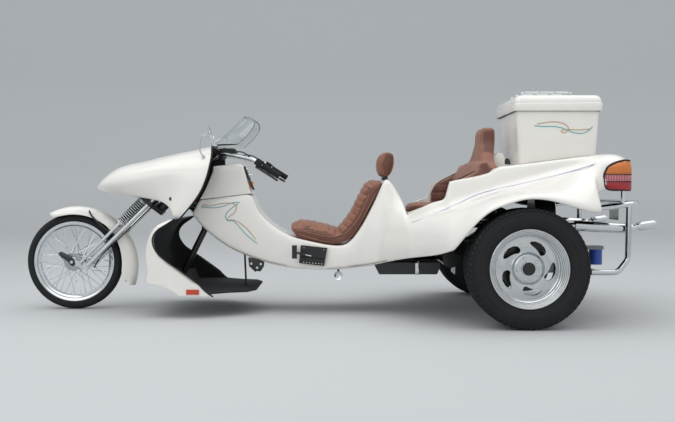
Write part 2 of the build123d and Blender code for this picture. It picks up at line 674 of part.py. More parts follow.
with BuildPart() as mirrors:
    for hand in (-1, 1):
        add(tube([(-709, hand * 300, 909.2), (-724, hand * 305, 1030), (-668, hand * 326, 1040)], 5, 12))
        with Locations(Plane((-664, hand * 330, 1038), z_dir=(25, 0, 10))):
            Cylinder(42, 10)
keep(mirrors.part, "mirrors")

# Rider's seat and headrest
CRADLE = [
    (-199, 443), (-98, 420), (-9, 400), (68, 394), (116, 406), (157, 448), (205, 519), (258, 620), (300, 709),
    (329, 783),
]
with BuildPart() as driver_seat:
    with BuildSketch(Plane.XZ):
        with BuildLine():
            Polyline(
                *[(x - SEAT_GAP, z + SEAT_GAP) for x, z in CRADLE], (322, 800), (270, 798), (219, 756), (177, 678),
                (140, 600), (93, 534), (57, 492), (-10, 513), (-100, 534), (-184, 543), (-232, 540), (-240, 490),
                close=True,
            )
        make_face()
    extrude(amount=205, both=True)
keep(driver_seat.part, "driver_seat")

with BuildPart() as driver_headrest:
    with BuildSketch(Plane.XZ):
        with BuildLine():
            Polyline((324, 800.3), (287, 878), (305, 933), (342, 954), (390, 945), (399, 921), (384, 847),
                     (368, 788), (330, 786.3), close=True)
        make_face()
    extrude(amount=120, both=True)
keep(driver_headrest.part, "driver_headrest")

# Passenger bench with a centre pad, and the backrest with its side bolsters
with BuildPart() as passenger_seat:
    with BuildSketch(Plane.XZ):
        with BuildLine():
            low = BENCH_Z + SEAT_GAP
            Polyline((460, low), (460, 636), (490, 648), (800, 640), (838, 620), (838, low), close=True)
        make_face()
    extrude(amount=395, both=True)
    with BuildSketch(Plane.XY):
        for hand in (-1, 1):
            with Locations(((460 + BENCH_X0) / 2, hand * 265)):
                Rectangle(BENCH_X0 - 460, 270)
    extrude(amount=900, mode=Mode.SUBTRACT)
keep(passenger_seat.part, "passenger_seat")

BACK_SIDE = [
    (839, 560.3), (839, 700), (800, 790), (842, 894), (855, 952), (858, 1081), (895, 1097), (932, 1094),
    (940, 1081), (931.4, 940), (931.4, 560.3),
]
BACK_SECTION = [(463, 540), (463, 850), (400, 880), (300, 900), (200, 950), (150, 1020), (138, 1084), (120, 1098)]
with BuildPart() as passenger_backrest:
    add(block(BACK_SIDE, 463, None, BACK_SECTION))
    with BuildSketch(Plane.XZ):
        with BuildLine():
            Polyline((652, 560.3), (652, 690), (670, 740), (690, 775), (742, 800), (840, 850), (860, 560.3), close=True)
        make_face()
    extrude(amount=463, both=True)
    with Locations((740, 0, 700)):
        Box(198, 2 * 396, 420, mode=Mode.SUBTRACT)
keep(passenger_backrest.part, "passenger_backrest")

# Rear wheels, tyres and drums
for hand, name in ((-1, "left"), (1, "right")):
    hub = Vector(REAR_AXLE_X, 0, REAR_TYRE_R)
    section = Plane(hub, x_dir=(0, hand, 0), z_dir=(-hand, 0, 0))
    axis = Axis(hub, (0, 1, 0))
    foot = (REAR_SEAT_R + FIT_GAP) / cos(radians(180 / TYRE_FLATS))
    bead = REAR_RIM_W / 2 - REAR_RIM_T - FIT_GAP
    side = REAR_TYRE_W / 2
    tread = REAR_TREAD_W / 2
    outside = [
        (bead, foot), (bead, REAR_RIM_R + 1.5), (side - 6, REAR_RIM_R + 8), (side, 0.81 * REAR_TYRE_R),
        (side - 6, 0.905 * REAR_TYRE_R), (tread, REAR_TYRE_R - 5), (tread - 30, REAR_TYRE_R),
    ]
    inside = [
        (bead - 14, foot), (bead - 14, REAR_RIM_R + 6), (side - TYRE_T, 0.81 * REAR_TYRE_R),
        (tread - 30, REAR_TYRE_R - TYRE_T - 2),
    ]
    rear_tyre = flat_tyre(hub, hand * REAR_MID_Y, outside, inside)
    keep(rear_tyre, f"rear_{name}_tyre")

    with BuildPart() as rear_wheel:
        with BuildSketch(section):
            with BuildLine():
                near = REAR_MID_Y - REAR_RIM_W / 2
                far = REAR_MID_Y + REAR_RIM_W / 2
                drop = REAR_SEAT_R - 18
                Polyline(
                    (near, REAR_RIM_R), (near, REAR_SEAT_R - REAR_RIM_T), (near + 22, REAR_SEAT_R - REAR_RIM_T),
                    (near + 34, drop - REAR_RIM_T), (far - 34, drop - REAR_RIM_T),
                    (far - 22, REAR_SEAT_R - REAR_RIM_T), (far, REAR_SEAT_R - REAR_RIM_T), (far, REAR_RIM_R),
                    (far - 6, REAR_RIM_R), (far - REAR_RIM_T, REAR_SEAT_R), (far - 28, REAR_SEAT_R),
                    (far - 40, drop), (near + 40, drop), (near + 28, REAR_SEAT_R), (near + REAR_RIM_T, REAR_SEAT_R),
                    (near + 6, REAR_RIM_R), close=True,
                )
            make_face()
            with BuildLine():
                face = WHEEL_FACE_Y
                Polyline(
                    (face - 34, STUB_R + RUN_GAP), (face - 34, 74), (face - 20, 84), (face - DISC_T, 110),
                    (face - DISC_T - 14, 160), (face - DISC_T - 14, drop - REAR_RIM_T + 3),
                    (face - 14, drop - REAR_RIM_T + 3), (face - 14, 160), (face, 110), (face - 6, 84),
                    (face + 4, 74), (face + 16, 66), (face + 16, STUB_R + RUN_GAP), close=True,
                )
            make_face()
        revolve(axis=axis)
        with BuildSketch(Plane((hub.X, hand * (face - 40), hub.Z), x_dir=(1, 0, 0), z_dir=(0, hand, 0))):
            with PolarLocations(134, SLOTS):
                SlotOverall(72, 26, rotation=62)
        extrude(amount=60, mode=Mode.SUBTRACT)
    keep(rear_wheel.part, f"rear_{name}_wheel")

# Rear axle and gearbox, engine
with BuildPart() as transaxle:
    with Locations(Plane((REAR_AXLE_X, 0, REAR_TYRE_R), z_dir=(0, 1, 0))):
        Cylinder(AXLE_TUBE_R, 2 * 640)
        Cylinder(STUB_R, 2 * (WHEEL_FACE_Y - 4))
        Cylinder(150, 150)
    for hand in (-1, 1):
        with Locations(Plane((REAR_AXLE_X, hand * 690, REAR_TYRE_R), z_dir=(0, 1, 0))):
            Cylinder(DRUM_R, DRUM_W)
    with Locations((REAR_AXLE_X - 150, 0, REAR_TYRE_R)):
        Box(270, 190, 200)
keep(transaxle.part, "transaxle")

with BuildPart() as engine_case:
    with Locations((1329.15, 0, 330)):
        Box(271.7, 260, 200)
    for x in CYLINDER_X:
        with Locations((x, 0, 320)):
            Box(2 * CYLINDER_R, 2 * FIN_OUTER_Y, 2 * CYLINDER_R)
        for fin in range(FIN_COUNT):
            y = FIN_INNER_Y + fin * FIN_PITCH
            with Locations((x, y, 320), (x, -y, 320)):
                Box(2 * FIN_R, FIN_T, 2 * FIN_R)
    with Locations((1530, -150, 382)):
        Box(170, 80, 19.4)
keep(engine_case.part, "engine_case")

with BuildPart() as fan_shroud:
    with Locations(Plane((1290, 0, 570), z_dir=(1, 0, 0))):
        Cylinder(125, 120)
    with Locations((1290, 0, 467.65)):
        Box(120, 640, 74.7)
keep(fan_shroud.part, "fan_shroud")

# Exhaust, bumper, plate and filter
with BuildPart() as exhaust:
    for hand in (-1, 1):
        with Locations(Plane((1532, hand * 450, 514), z_dir=(315, 0, -18))):
            Cylinder(28, 315)
            Cylinder(24, 309, mode=Mode.SUBTRACT)
        add(tube([(1690, hand * 450, 505), (1740, hand * 450, 520), (1824, hand * 450, 532)], 17, 40, 14))
        add(tube([(1376, hand * 450, 522), (1325, hand * 450, 522), (1325, hand * 400, 320),
                  (1395, hand * 400, 320), (1395, hand * 330.3, 320)], 18, 24))
keep(exhaust.part, "exhaust")

with BuildPart() as rear_bumper:
    add(tube([(1500, -500, 622), (1716, -500, 648), (1716, 500, 648), (1500, 500, 622)], 16, 60))
    for hand in (-1, 1):
        add(tube([(1454, hand * 500, 268), (1600, hand * 500, 268), (1655, hand * 500, 340),
                  (1660, hand * 500, 640)], 16, 50))
        with Locations((1625, hand * 500, 676)):
            Box(14, 24, 83.4)
    add(tube([(1479.3, -500, 268), (1479.3, 500, 268)], 14))
keep(rear_bumper.part, "rear_bumper")

PLATE_HOLE_SPACING = 140.0
PLATE_HOLE_R = 3.5
PLATE_HOLE_Z = 570.0
with BuildPart() as number_plate:
    with Locations((1733.8, 0, 600)):
        Box(3, 180, 120)
    with Locations(Plane((1733.8, -PLATE_HOLE_SPACING / 2, PLATE_HOLE_Z), z_dir=(1, 0, 0)),
                   Plane((1733.8, PLATE_HOLE_SPACING / 2, PLATE_HOLE_Z), z_dir=(1, 0, 0))):
        Cylinder(PLATE_HOLE_R, 10, mode=Mode.SUBTRACT)
keep(number_plate.part, "number_plate")

with BuildPart() as oil_filter:
    with Locations((1579, -150, 327)):
        Cylinder(38, 90)
keep(oil_filter.part, "oil_filter")

# Tail lamps wrapped round the body's rear corners, in the openings cut for them
for name, outline in (("tail_lamp_amber", LAMP_TOP), ("tail_lamp_red", LAMP_LOW)):
    with BuildPart() as lamp:
        add(block(TAIL_SIDE, 660, TAIL_PLAN, TAIL_SECTION))
        with BuildSketch(Plane.XZ):
            with BuildLine():
                Polyline(*outline, close=True)
            make_face()
        extrude(amount=700, both=True, mode=Mode.INTERSECT)
        with Locations((1550, 0, 800)):
            Box(300, 2 * (LAMP_INNER_Y + 4), 300, mode=Mode.SUBTRACT)
    keep(lamp.part, name)

with BuildPart() as side_markers:
    for hand in (-1, 1):
        with Locations((-754, hand * 432.6, 150)):
            Box(70, 8, 28)
keep(side_markers.part, "side_markers")

# Shift gate and its lever on the body's left flank
with BuildPart() as shift_gate:
    with BuildSketch(Plane((0, -222.3, 0), x_dir=(1, 0, 0), z_dir=(0, -1, 0))):
        with BuildLine():
            Polyline((-156, 401), (-3, 384), (-22, 280), (-167, 297), close=True)
        make_face()
    extrude(amount=24)
keep(shift_gate.part, "shift_gate")

with BuildPart() as shift_lever:
    with Locations(Plane((-138, -256.6, 350), z_dir=(0, 1, 0))):
        Cylinder(9, 20)
    add(tube([(-138, -258, 350), (-192, -275, 362)], 6))
    with Locations((-192, -275, 364)):
        Box(28, 22, 76)
keep(shift_lever.part, "shift_lever")

# Frame
with BuildPart() as frame:
    with BuildSketch(fork_plane(HEAD_LOW)):
        Circle(HEAD_R)
        Circle(STEM_R + RUN_GAP, mode=Mode.SUBTRACT)
    extrude(amount=HEAD_HIGH - HEAD_LOW)
    head_back = on_fork((HEAD_LOW + HEAD_HIGH) / 2, -24)
    add(tube([tuple(head_back), (-700, 0, 560), (-420, 0, 400), (-120, 0, 325), (700, 0, 325)], 30, 120))
    add(tube([(-741, 0, 560), (-750, 0, 477), (-880, 0, 217.9)], 19, 30))
    with Locations(Plane((-895, 0, 670), z_dir=(0, 1, 0))):
        Cylinder(10, 2 * 321.1)
    with Locations(Plane((700, 0, 325), z_dir=(0, 1, 0))):
        Cylinder(46, 700)
    for hand in (-1, 1):
        with Locations(((660 + REAR_AXLE_X - AXLE_TUBE_R - 0.3) / 2, hand * 352, 322)):
            Box(REAR_AXLE_X - AXLE_TUBE_R - 0.3 - 660, 8, 60)
    add(tube([(-511, 0, 440), (-499, 0, 145.3)], 6))
    with BuildSketch(fork_plane(HEAD_LOW)):
        Circle(STEM_R + RUN_GAP)
    extrude(amount=HEAD_HIGH - HEAD_LOW, mode=Mode.SUBTRACT)
keep(frame.part, "frame")

# Black tray hung under the frame's spine behind the rider
TRAY_SIDE = [(300, 226), (640, 226), (654, 262), (654, 294.7), (310, 294.7), (272, 281.5)]
TRAY_HALF = 190.0
TRAY_T = 3.0
with BuildPart() as under_tray:
    add(block(TRAY_SIDE, TRAY_HALF))
    add(block(TRAY_SIDE, TRAY_HALF, None, None, TRAY_T), mode=Mode.SUBTRACT)
keep(under_tray.part, "under_tray")

# Trunk and lid: the box stands on the sloping deck
BOX_SIDE = [(1096, 866.9), (1541, 923.8), (1556, BOX_TOP), (1077, BOX_TOP)]
BOX_SECTION = [(292, 800), (306, BOX_TOP + 1)]
with BuildPart() as trunk_box:
    add(block(BOX_SIDE, 306, None, BOX_SECTION))
    add(Pos(0, 0, SKIN + 1) * block(BOX_SIDE, 306, None, BOX_SECTION, SKIN), mode=Mode.SUBTRACT)
    for y in (-HINGE_Y, HINGE_Y):
        with Locations(Plane((HINGE_X, y, HINGE_Z), z_dir=(0, 1, 0))):
            Cylinder(HINGE_R, KNUCKLE)
            Cylinder(PIN_R, 3 * KNUCKLE)
        with Locations((HINGE_X + 7, y, HINGE_Z)):
            Box(14, KNUCKLE, 4)
keep(trunk_box.part, "trunk_box")

LID_SIDE = [(1064, 1170), (1062, 1226), (1096, 1264), (1549, 1264), (1574, 1230), (1570, 1180), (1566, 1170)]
LID_SECTION = [(318, 1160), (320, 1228), (296, 1266)]
with BuildPart() as trunk_lid:
    add(block(LID_SIDE, 320, None, LID_SECTION))
    with BuildSketch(Plane.XY.offset(1160)):
        with Locations(((1077 + 1556) / 2, 0)):
            Rectangle(1556 - 1077 + 3, 2 * 306 + 3)
    extrude(amount=BOX_TOP + LID_GAP - 1160, mode=Mode.SUBTRACT)
    with BuildSketch(Plane.XY.offset(BOX_TOP)):
        with Locations(((1077 + 1556) / 2, 0)):
            Rectangle(1556 - 1077 - 24, 2 * 306 - 24)
    extrude(amount=76, taper=12, mode=Mode.SUBTRACT)
    for y in (-HINGE_Y, HINGE_Y):
        for side in (-1, 1):
            middle = y + side * (KNUCKLE + 1.5)
            with Locations(Plane((HINGE_X, middle, HINGE_Z), z_dir=(0, 1, 0))):
                Cylinder(HINGE_R, KNUCKLE - 1)
            with Locations((HINGE_X + 1, middle, (HINGE_Z + 1172) / 2)):
                Box(6, KNUCKLE - 1, 1172 - HINGE_Z)
        with Locations(Plane((HINGE_X, y, HINGE_Z), z_dir=(0, 1, 0))):
            Cylinder(PIN_R + RUN_GAP, 4 * KNUCKLE, mode=Mode.SUBTRACT)
keep(trunk_lid.part, "trunk_lid")

with BuildPart() as lid_rack:
    for y in (-150, 0, 150):
        add(tube([(1128, y, RACK_Z - RACK_R), (1436, y, RACK_Z - RACK_R)], RACK_R))
    for x in (1134, 1430):
        add(tube([(x, -156, RACK_Z - RACK_R), (x, 156, RACK_Z - RACK_R)], RACK_R))
        for y in (-150, 150):
            add(tube([(x, y, 1264.3), (x, y, RACK_Z - RACK_R)], RACK_R))
keep(lid_rack.part, "lid_rack")
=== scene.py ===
import bpy
import bmesh
import json
from math import cos, exp, hypot, pi, radians, sin, sqrt
from mathutils import Vector, Matrix
from mathutils.bvhtree import BVHTree


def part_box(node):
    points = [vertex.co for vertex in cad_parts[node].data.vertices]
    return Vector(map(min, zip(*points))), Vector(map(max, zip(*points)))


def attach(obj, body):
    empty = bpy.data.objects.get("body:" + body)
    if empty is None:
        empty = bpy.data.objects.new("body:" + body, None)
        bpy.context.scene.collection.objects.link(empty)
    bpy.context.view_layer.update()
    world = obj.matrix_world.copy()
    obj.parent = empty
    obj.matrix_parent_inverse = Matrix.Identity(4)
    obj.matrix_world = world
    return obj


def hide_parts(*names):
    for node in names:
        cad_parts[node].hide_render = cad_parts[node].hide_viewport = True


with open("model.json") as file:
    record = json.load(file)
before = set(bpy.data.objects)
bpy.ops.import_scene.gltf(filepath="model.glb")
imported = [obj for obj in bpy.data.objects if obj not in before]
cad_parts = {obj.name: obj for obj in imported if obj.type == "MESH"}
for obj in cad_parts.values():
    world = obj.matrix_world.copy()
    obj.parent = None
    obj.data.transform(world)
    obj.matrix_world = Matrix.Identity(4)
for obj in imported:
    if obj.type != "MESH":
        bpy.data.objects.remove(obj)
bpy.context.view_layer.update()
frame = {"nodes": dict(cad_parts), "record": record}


# The studio: a plain pale floor that runs up behind the trike, one broad soft lamp overhead, a weak
# one from the front left and an even pale sky. The camera stands at the left, a little behind the
# middle, as high as a standing rider's waist.
def linear(code):
    """A colour as it looks, in sRGB hex, turned into the linear numbers of a socket."""
    parts = [int(code[i:i + 2], 16) / 255 for i in (1, 3, 5)]
    return (*[c / 12.92 if c <= 0.04045 else ((c + 0.055) / 1.055) ** 2.4 for c in parts], 1.0)


def add_node(tree, kind, settings):
    """Adds one shader node; each setting is a property, a socket's value, or a link into it."""
    made = tree.nodes.new("ShaderNode" + kind)
    for key, value in settings.items():
        if isinstance(key, str) and hasattr(made, key):
            setattr(made, key, value)
        elif isinstance(value, bpy.types.NodeSocket):
            tree.links.new(value, made.inputs[key])
        else:
            made.inputs[key].default_value = value
    return made


def start_material(name, settings):
    """A material whose shader's own sockets are set directly."""
    made = bpy.data.materials.new(name)
    made.use_nodes = True
    shader = made.node_tree.nodes["Principled BSDF"]
    for key, value in settings.items():
        shader.inputs[key].default_value = value
    return made, made.node_tree, shader


def seen_or_lit(tree, seen, lit):
    """Mixes what the camera, glass and mirrors see of a backdrop with what lights the object."""
    path = add_node(tree, "LightPath", {})
    either = add_node(tree, "Math", {"operation": "MAXIMUM", 0: path.outputs["Is Camera Ray"],
        1: path.outputs["Is Glossy Ray"]})
    through = add_node(tree, "Math", {"operation": "MAXIMUM", 0: either.outputs[0],
        1: path.outputs["Is Transmission Ray"]})
    return add_node(tree, "Mix", {"data_type": "RGBA", 0: through.outputs[0], 6: linear(lit),
        7: linear(seen)})


world = bpy.data.worlds.new("even_sky")
world.use_nodes = True
sky = world.node_tree
sky.nodes["Background"].inputs["Strength"].default_value = 0.9
sky.links.new(seen_or_lit(sky, "#DFE2E4", "#F4F6F8").outputs[2], sky.nodes["Background"].inputs["Color"])
bpy.context.scene.world = world
bpy.context.scene.view_settings.view_transform = "Standard"

ground = bmesh.new()
edge = [ground.verts.new((x, -14, 0)) for x in (-30, 30)]
line = [ground.edges.new(edge)]
for y, z in ((9, 0), (11, 0.25), (12.4, 1.2), (13, 3.0), (13.2, 12)):
    grown = bmesh.ops.extrude_edge_only(ground, edges=line)["geom"]
    for v in [g for g in grown if isinstance(g, bmesh.types.BMVert)]:
        v.co.y, v.co.z = y, z
    line = [g for g in grown if isinstance(g, bmesh.types.BMEdge)
            and all(abs(v.co.y - y) < 1e-6 for v in g.verts)]
floor_mesh = bpy.data.meshes.new("floor")
ground.to_mesh(floor_mesh)
ground.free()
floor_mesh.shade_smooth()
ground_sheet = bpy.data.objects.new("floor", floor_mesh)
bpy.context.collection.objects.link(ground_sheet)
floor_paint, tree, shader = start_material("matt_floor_paint",
    {"Base Color": linear("#C4C7C9"), "Roughness": 0.75, "Specular IOR Level": 0.2})
floor_mesh.materials.append(floor_paint)

for name, size, place, aim, power in (
    ("overhead_lamp", (9.0, 5.0), (0.2, -0.8, 5.2), (0, 0, 0.4), 150),
    ("left_lamp", (5.0, 2.6), (-3.2, -5.6, 3.0), (-0.2, 0, 0.6), 34),
):
    lamp = bpy.data.lights.new(name, "AREA")
    lamp.shape = "RECTANGLE"
    lamp.size, lamp.size_y = size
    lamp.energy = power
    made = bpy.data.objects.new(name, lamp)
    made.location = place
    made.rotation_mode = "QUATERNION"
    made.rotation_quaternion = (Vector(aim) - Vector(place)).to_track_quat("-Z", "Y")
    bpy.context.collection.objects.link(made)

lens = bpy.data.cameras.new("camera")
lens.lens = 47.15
lens.sensor_width = 36
camera = bpy.data.objects.new("camera", lens)
camera.location = (0.056, -5.360, 0.738)
camera.rotation_euler = (radians(90 - 1.555), 0, 0)
bpy.context.collection.objects.link(camera)
bpy.context.scene.camera = camera


# The white body is glass fibre laid up in a mould, with a sprayed gelcoat 0.6 mm thick that was
# polished out. It is hard and glossy like enamel, with the mould's slow waves in it.
gelcoat, tree, shader = start_material("polished_gelcoat_white", {
    "Base Color": linear("#E9E7E1"), "Roughness": 0.22, "IOR": 1.55, "Coat Weight": 0.5,
    "Coat Roughness": 0.06})
coords = add_node(tree, "TexCoord", {})
waves = add_node(tree, "TexNoise", {"Vector": coords.outputs["Object"], "Scale": 7.0, "Detail": 1.0})
peel = add_node(tree, "TexNoise", {"Vector": coords.outputs["Object"], "Scale": 420.0, "Detail": 2.0})
slow = add_node(tree, "Bump", {"Height": waves.outputs["Fac"], "Strength": 0.10, "Distance": 0.006})
fine = add_node(tree, "Bump", {"Height": peel.outputs["Fac"], "Strength": 0.05, "Distance": 0.0004,
    "Normal": slow.outputs["Normal"]})
tree.links.new(fine.outputs["Normal"], shader.inputs["Normal"])
tint = add_node(tree, "Mix", {"data_type": "RGBA", 0: waves.outputs["Fac"], 6: linear("#E6E3DC"),
    7: linear("#ECEAE5")})
tree.links.new(tint.outputs[2], shader.inputs["Base Color"])

# The moulding's back is bare laminate under black stone-guard paint, rough as felt.
underseal, tree, shader = start_material("black_underseal", {"Base Color": linear("#17181A"),
    "Roughness": 0.86})
coords = add_node(tree, "TexCoord", {})
grit = add_node(tree, "TexNoise", {"Vector": coords.outputs["Object"], "Scale": 260.0, "Detail": 4.0})
rough = add_node(tree, "Bump", {"Height": grit.outputs["Fac"], "Strength": 0.5, "Distance": 0.002})
tree.links.new(rough.outputs["Normal"], shader.inputs["Normal"])


def rows(bm, rings, closed=False):
    """Sweeps a row of points through its next places, one extrusion each, and gives the last row."""
    verts = [bm.verts.new(Vector(p) / 1000) for p in rings[0]]
    pairs = list(zip(verts, verts[1:] + (verts[:1] if closed else [])))
    edges = [bm.edges.new(pair) for pair in pairs]
    for ring in rings[1:]:
        grown = bmesh.ops.extrude_edge_only(bm, edges=edges)["geom"]
        new = {g for g in grown if isinstance(g, bmesh.types.BMVert)}
        verts = [next(e.other_vert(v) for e in v.link_edges if e.other_vert(v) in new) for v in verts]
        for v, p in zip(verts, ring):
            v.co = Vector(p) / 1000
        edges = [g for g in grown if isinstance(g, bmesh.types.BMEdge) and set(g.verts) <= new]
    return verts


def finish_piece(name, bm, paint, body, replaces=(), crease=50, mirror=False):
    """Closes the mesh's seams, points it outwards, and sets the piece on its body."""
    if mirror:
        half = bm.verts[:] + bm.edges[:] + bm.faces[:]
        bmesh.ops.mirror(bm, geom=half, axis="Y", merge_dist=0.0005)
    bmesh.ops.remove_doubles(bm, verts=bm.verts, dist=0.0002)
    bmesh.ops.recalc_face_normals(bm, faces=bm.faces)
    mesh = bpy.data.meshes.new(name)
    bm.to_mesh(mesh)
    bm.free()
    for one in paint if isinstance(paint, tuple) else (paint,):
        mesh.materials.append(one)
    mesh.shade_smooth()
    if crease:
        mesh.set_sharp_from_angle(angle=radians(crease))
    made = bpy.data.objects.new(name, mesh)
    bpy.context.collection.objects.link(made)
    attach(made, body)
    if replaces:
        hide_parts(*replaces)
    return made


def thicken(made, wall, levels=2, back=None):
    """Gives an open skin its wall, inwards, smoothed first if asked; its back may have its own paint."""
    if levels:
        smooth = made.modifiers.new("smooth", "SUBSURF")
        smooth.levels = smooth.render_levels = levels
    shell = made.modifiers.new("wall", "SOLIDIFY")
    shell.thickness = wall
    shell.offset = -1
    if back is not None:
        shell.material_offset = back


def moulding(name, bm, node, wall, body="body", crease=0):
    """A laminated skin, white outside and black behind, smoothed and given its wall."""
    made = finish_piece(name, bm, (gelcoat, underseal), body, (node,), crease=crease,
                        mirror=True)
    thicken(made, wall, back=1)
    return made


# Body: each row is one station along the trike. Its first pair is the sill, or the arch's lip, the
# second pair the top edge, and the rest the flare, crest, wall foot and inner edge.
tub_floor = 562
body_rows = []
for xb, zb, xt, zt, half in (
    (-802, 574, -757, 663, 140), (-757, 509, -700, 670, 141), (-674, 433, -600, 681, 144),
    (-579, 369, -510, 692, 147), (-522, 342, -456, 700, 150), (-476, 324, -432, 648, 153),
    (-440, 312, -417, 600, 158), (-361, 286, -372, 548, 166), (-310, 275, -320, 506, 176),
    (-246, 264, -261, 468, 190), (-195, 259, -199, 443, 205), (-98, 253, -98, 420, 220),
    (-9, 251, -9, 400, 223), (68, 255, 68, 393, 225), (112, 259, 112, 404, 226),
    (150, 263, 153, 444, 227),
    (190, 269, 202, 516, 228),
):
    h = zt - zb
    side = [(half - 26, 0.03), (half, 0.0), (half + 3, 0.25), (half + 4, 0.5), (half + 1, 0.72),
            (half - 3, 0.88), (half - 8, 0.985), (half - 26, 1.0), (half * 0.5, 1.0), (0, 1.0)]
    body_rows.append([(xb + (xt - xb) * t, y, zb + h * t) for y, t in side])
def station(x, foot, lip, flare, crest, wall, top, rise, *inner):
    """A row from the sill or lip up to the top edge and in to the middle, of (y, z) pairs in mm."""
    shoulder = ((wall[0] + top[0]) / 2, (wall[1] + top[1]) / 2)
    spots = ((lip - 24, foot + rise), (lip, foot), flare, crest, wall, shoulder, top, *inner)
    return [(x, *spot) for spot in spots]


for x, foot, lip, flare, crest, wall, top, inner in (
    # x, sill z, lip y, then (y, z) of the flare, the crest, the wall's foot, the top edge and the tub's edge
    (238, 275, 238, (239, 340), (236, 430), (230, 520), (222, 580), (202, 586)),
    (282, 286, 262, (264, 352), (256, 446), (240, 545), (222, 664), (202, 672)),
    (312, 296, 292, (294, 364), (280, 460), (250, 560), (220, 738), (200, 748)),
    (334, 304, 322, (324, 374), (304, 470), (262, 566), (218, 776), (198, 787)),
    (358, 312, 356, (358, 386), (332, 482), (280, 566), (214, 770), (194, 781)),
    (388, 322, 400, (402, 400), (368, 496), (306, 562), (214, 736), (194, 744)),
    (414, 330, 438, (440, 414), (402, 508), (340, 558), (224, 690), (204, 698)),
    (436, 336, 470, (472, 426), (432, 518), (375, 558), (250, 652), (226, 655)),
):
    body_rows.append(station(x, foot, lip, flare, crest, wall, top, 4, inner, (120, inner[1]), (0, inner[1])))
for x, foot, lip, flare, crest, wall, top, inner in (
    (450, 340, 496, (498, 430), (452, 520), (392, 548), (350, 575), 322),
    (460, 342, 508, (510, 432), (462, 525), (402, 552), (356, 580), 336),
    (503, 352, 562, (564, 440), (505, 540), (450, 566), (414, 612), 398),
    (547, 362, 630, (632, 452), (556, 562), (480, 582), (452, 637), 434),
    (592, 374, 700, (702, 464), (600, 582), (496, 598), (470, 656), 455),
    (626, 390, 752, (754, 476), (632, 595), (503, 608), (481, 664), 468),
    (648, 399, 780, (782, 486), (648, 606), (505, 614), (485, 671), 470),
    (662, 405, 792, (794, 492), (656, 611), (506, 618), (486, 722), 470),
    (674, 420, 800, (802, 500), (662, 617), (506, 622), (486, 765), 470),
    (690, 441, 812, (814, 510), (668, 624), (507, 628), (486, 775), 470),
    (724, 489, 830, (832, 538), (680, 640), (508, 640), (486, 781), 470),
    (776, 556, 848, (850, 590), (692, 662), (508, 657), (486, 789), 470),
    (838, 609, 856, (858, 638), (700, 688), (508, 677), (486, 800), 470),
    (891, 632, 859, (860, 660), (704, 706), (508, 694), (487, 815), 470),
    (920, 641, 860, (861, 668), (705, 714), (508, 704), (488, 834), 470),
    (936, 648, 860, (861, 674), (706, 719), (508, 709), (489, 846), 470),
):
    low = (top[1] + tub_floor) / 2
    tub = ((inner, top[1] + 1), (inner - 1, low), (inner - 1, tub_floor))
    body_rows.append(station(x, foot, lip, flare, crest, wall, top, 5, *tub))
for x, foot, lip, flare, crest, wall, top, centre in (
    (942, 649, 860, (861, 675), (706, 721), (508, 711), (490, 849), 851),
    (994, 666, 861, (862, 690), (706, 730), (510, 728), (494, 856), 857),
    (1043, 674, 861, (862, 700), (706, 738), (512, 744), (498, 862), 862),
    (1124, 669, 861, (862, 700), (706, 750), (516, 771), (504, 870), 871),
    (1202, 650, 860, (861, 688), (703, 762), (520, 797), (510, 880), 881),
    (1281, 624, 858, (859, 668), (697, 772), (526, 822), (516, 890), 891),
    (1348, 606, 846, (848, 655), (688, 780), (540, 842), (526, 898), 899),
):
    deck = ((top[0] - 30, centre - 2), (250, centre), (0, centre))
    body_rows.append(station(x, foot, lip, flare, crest, wall, top, 5, *deck))
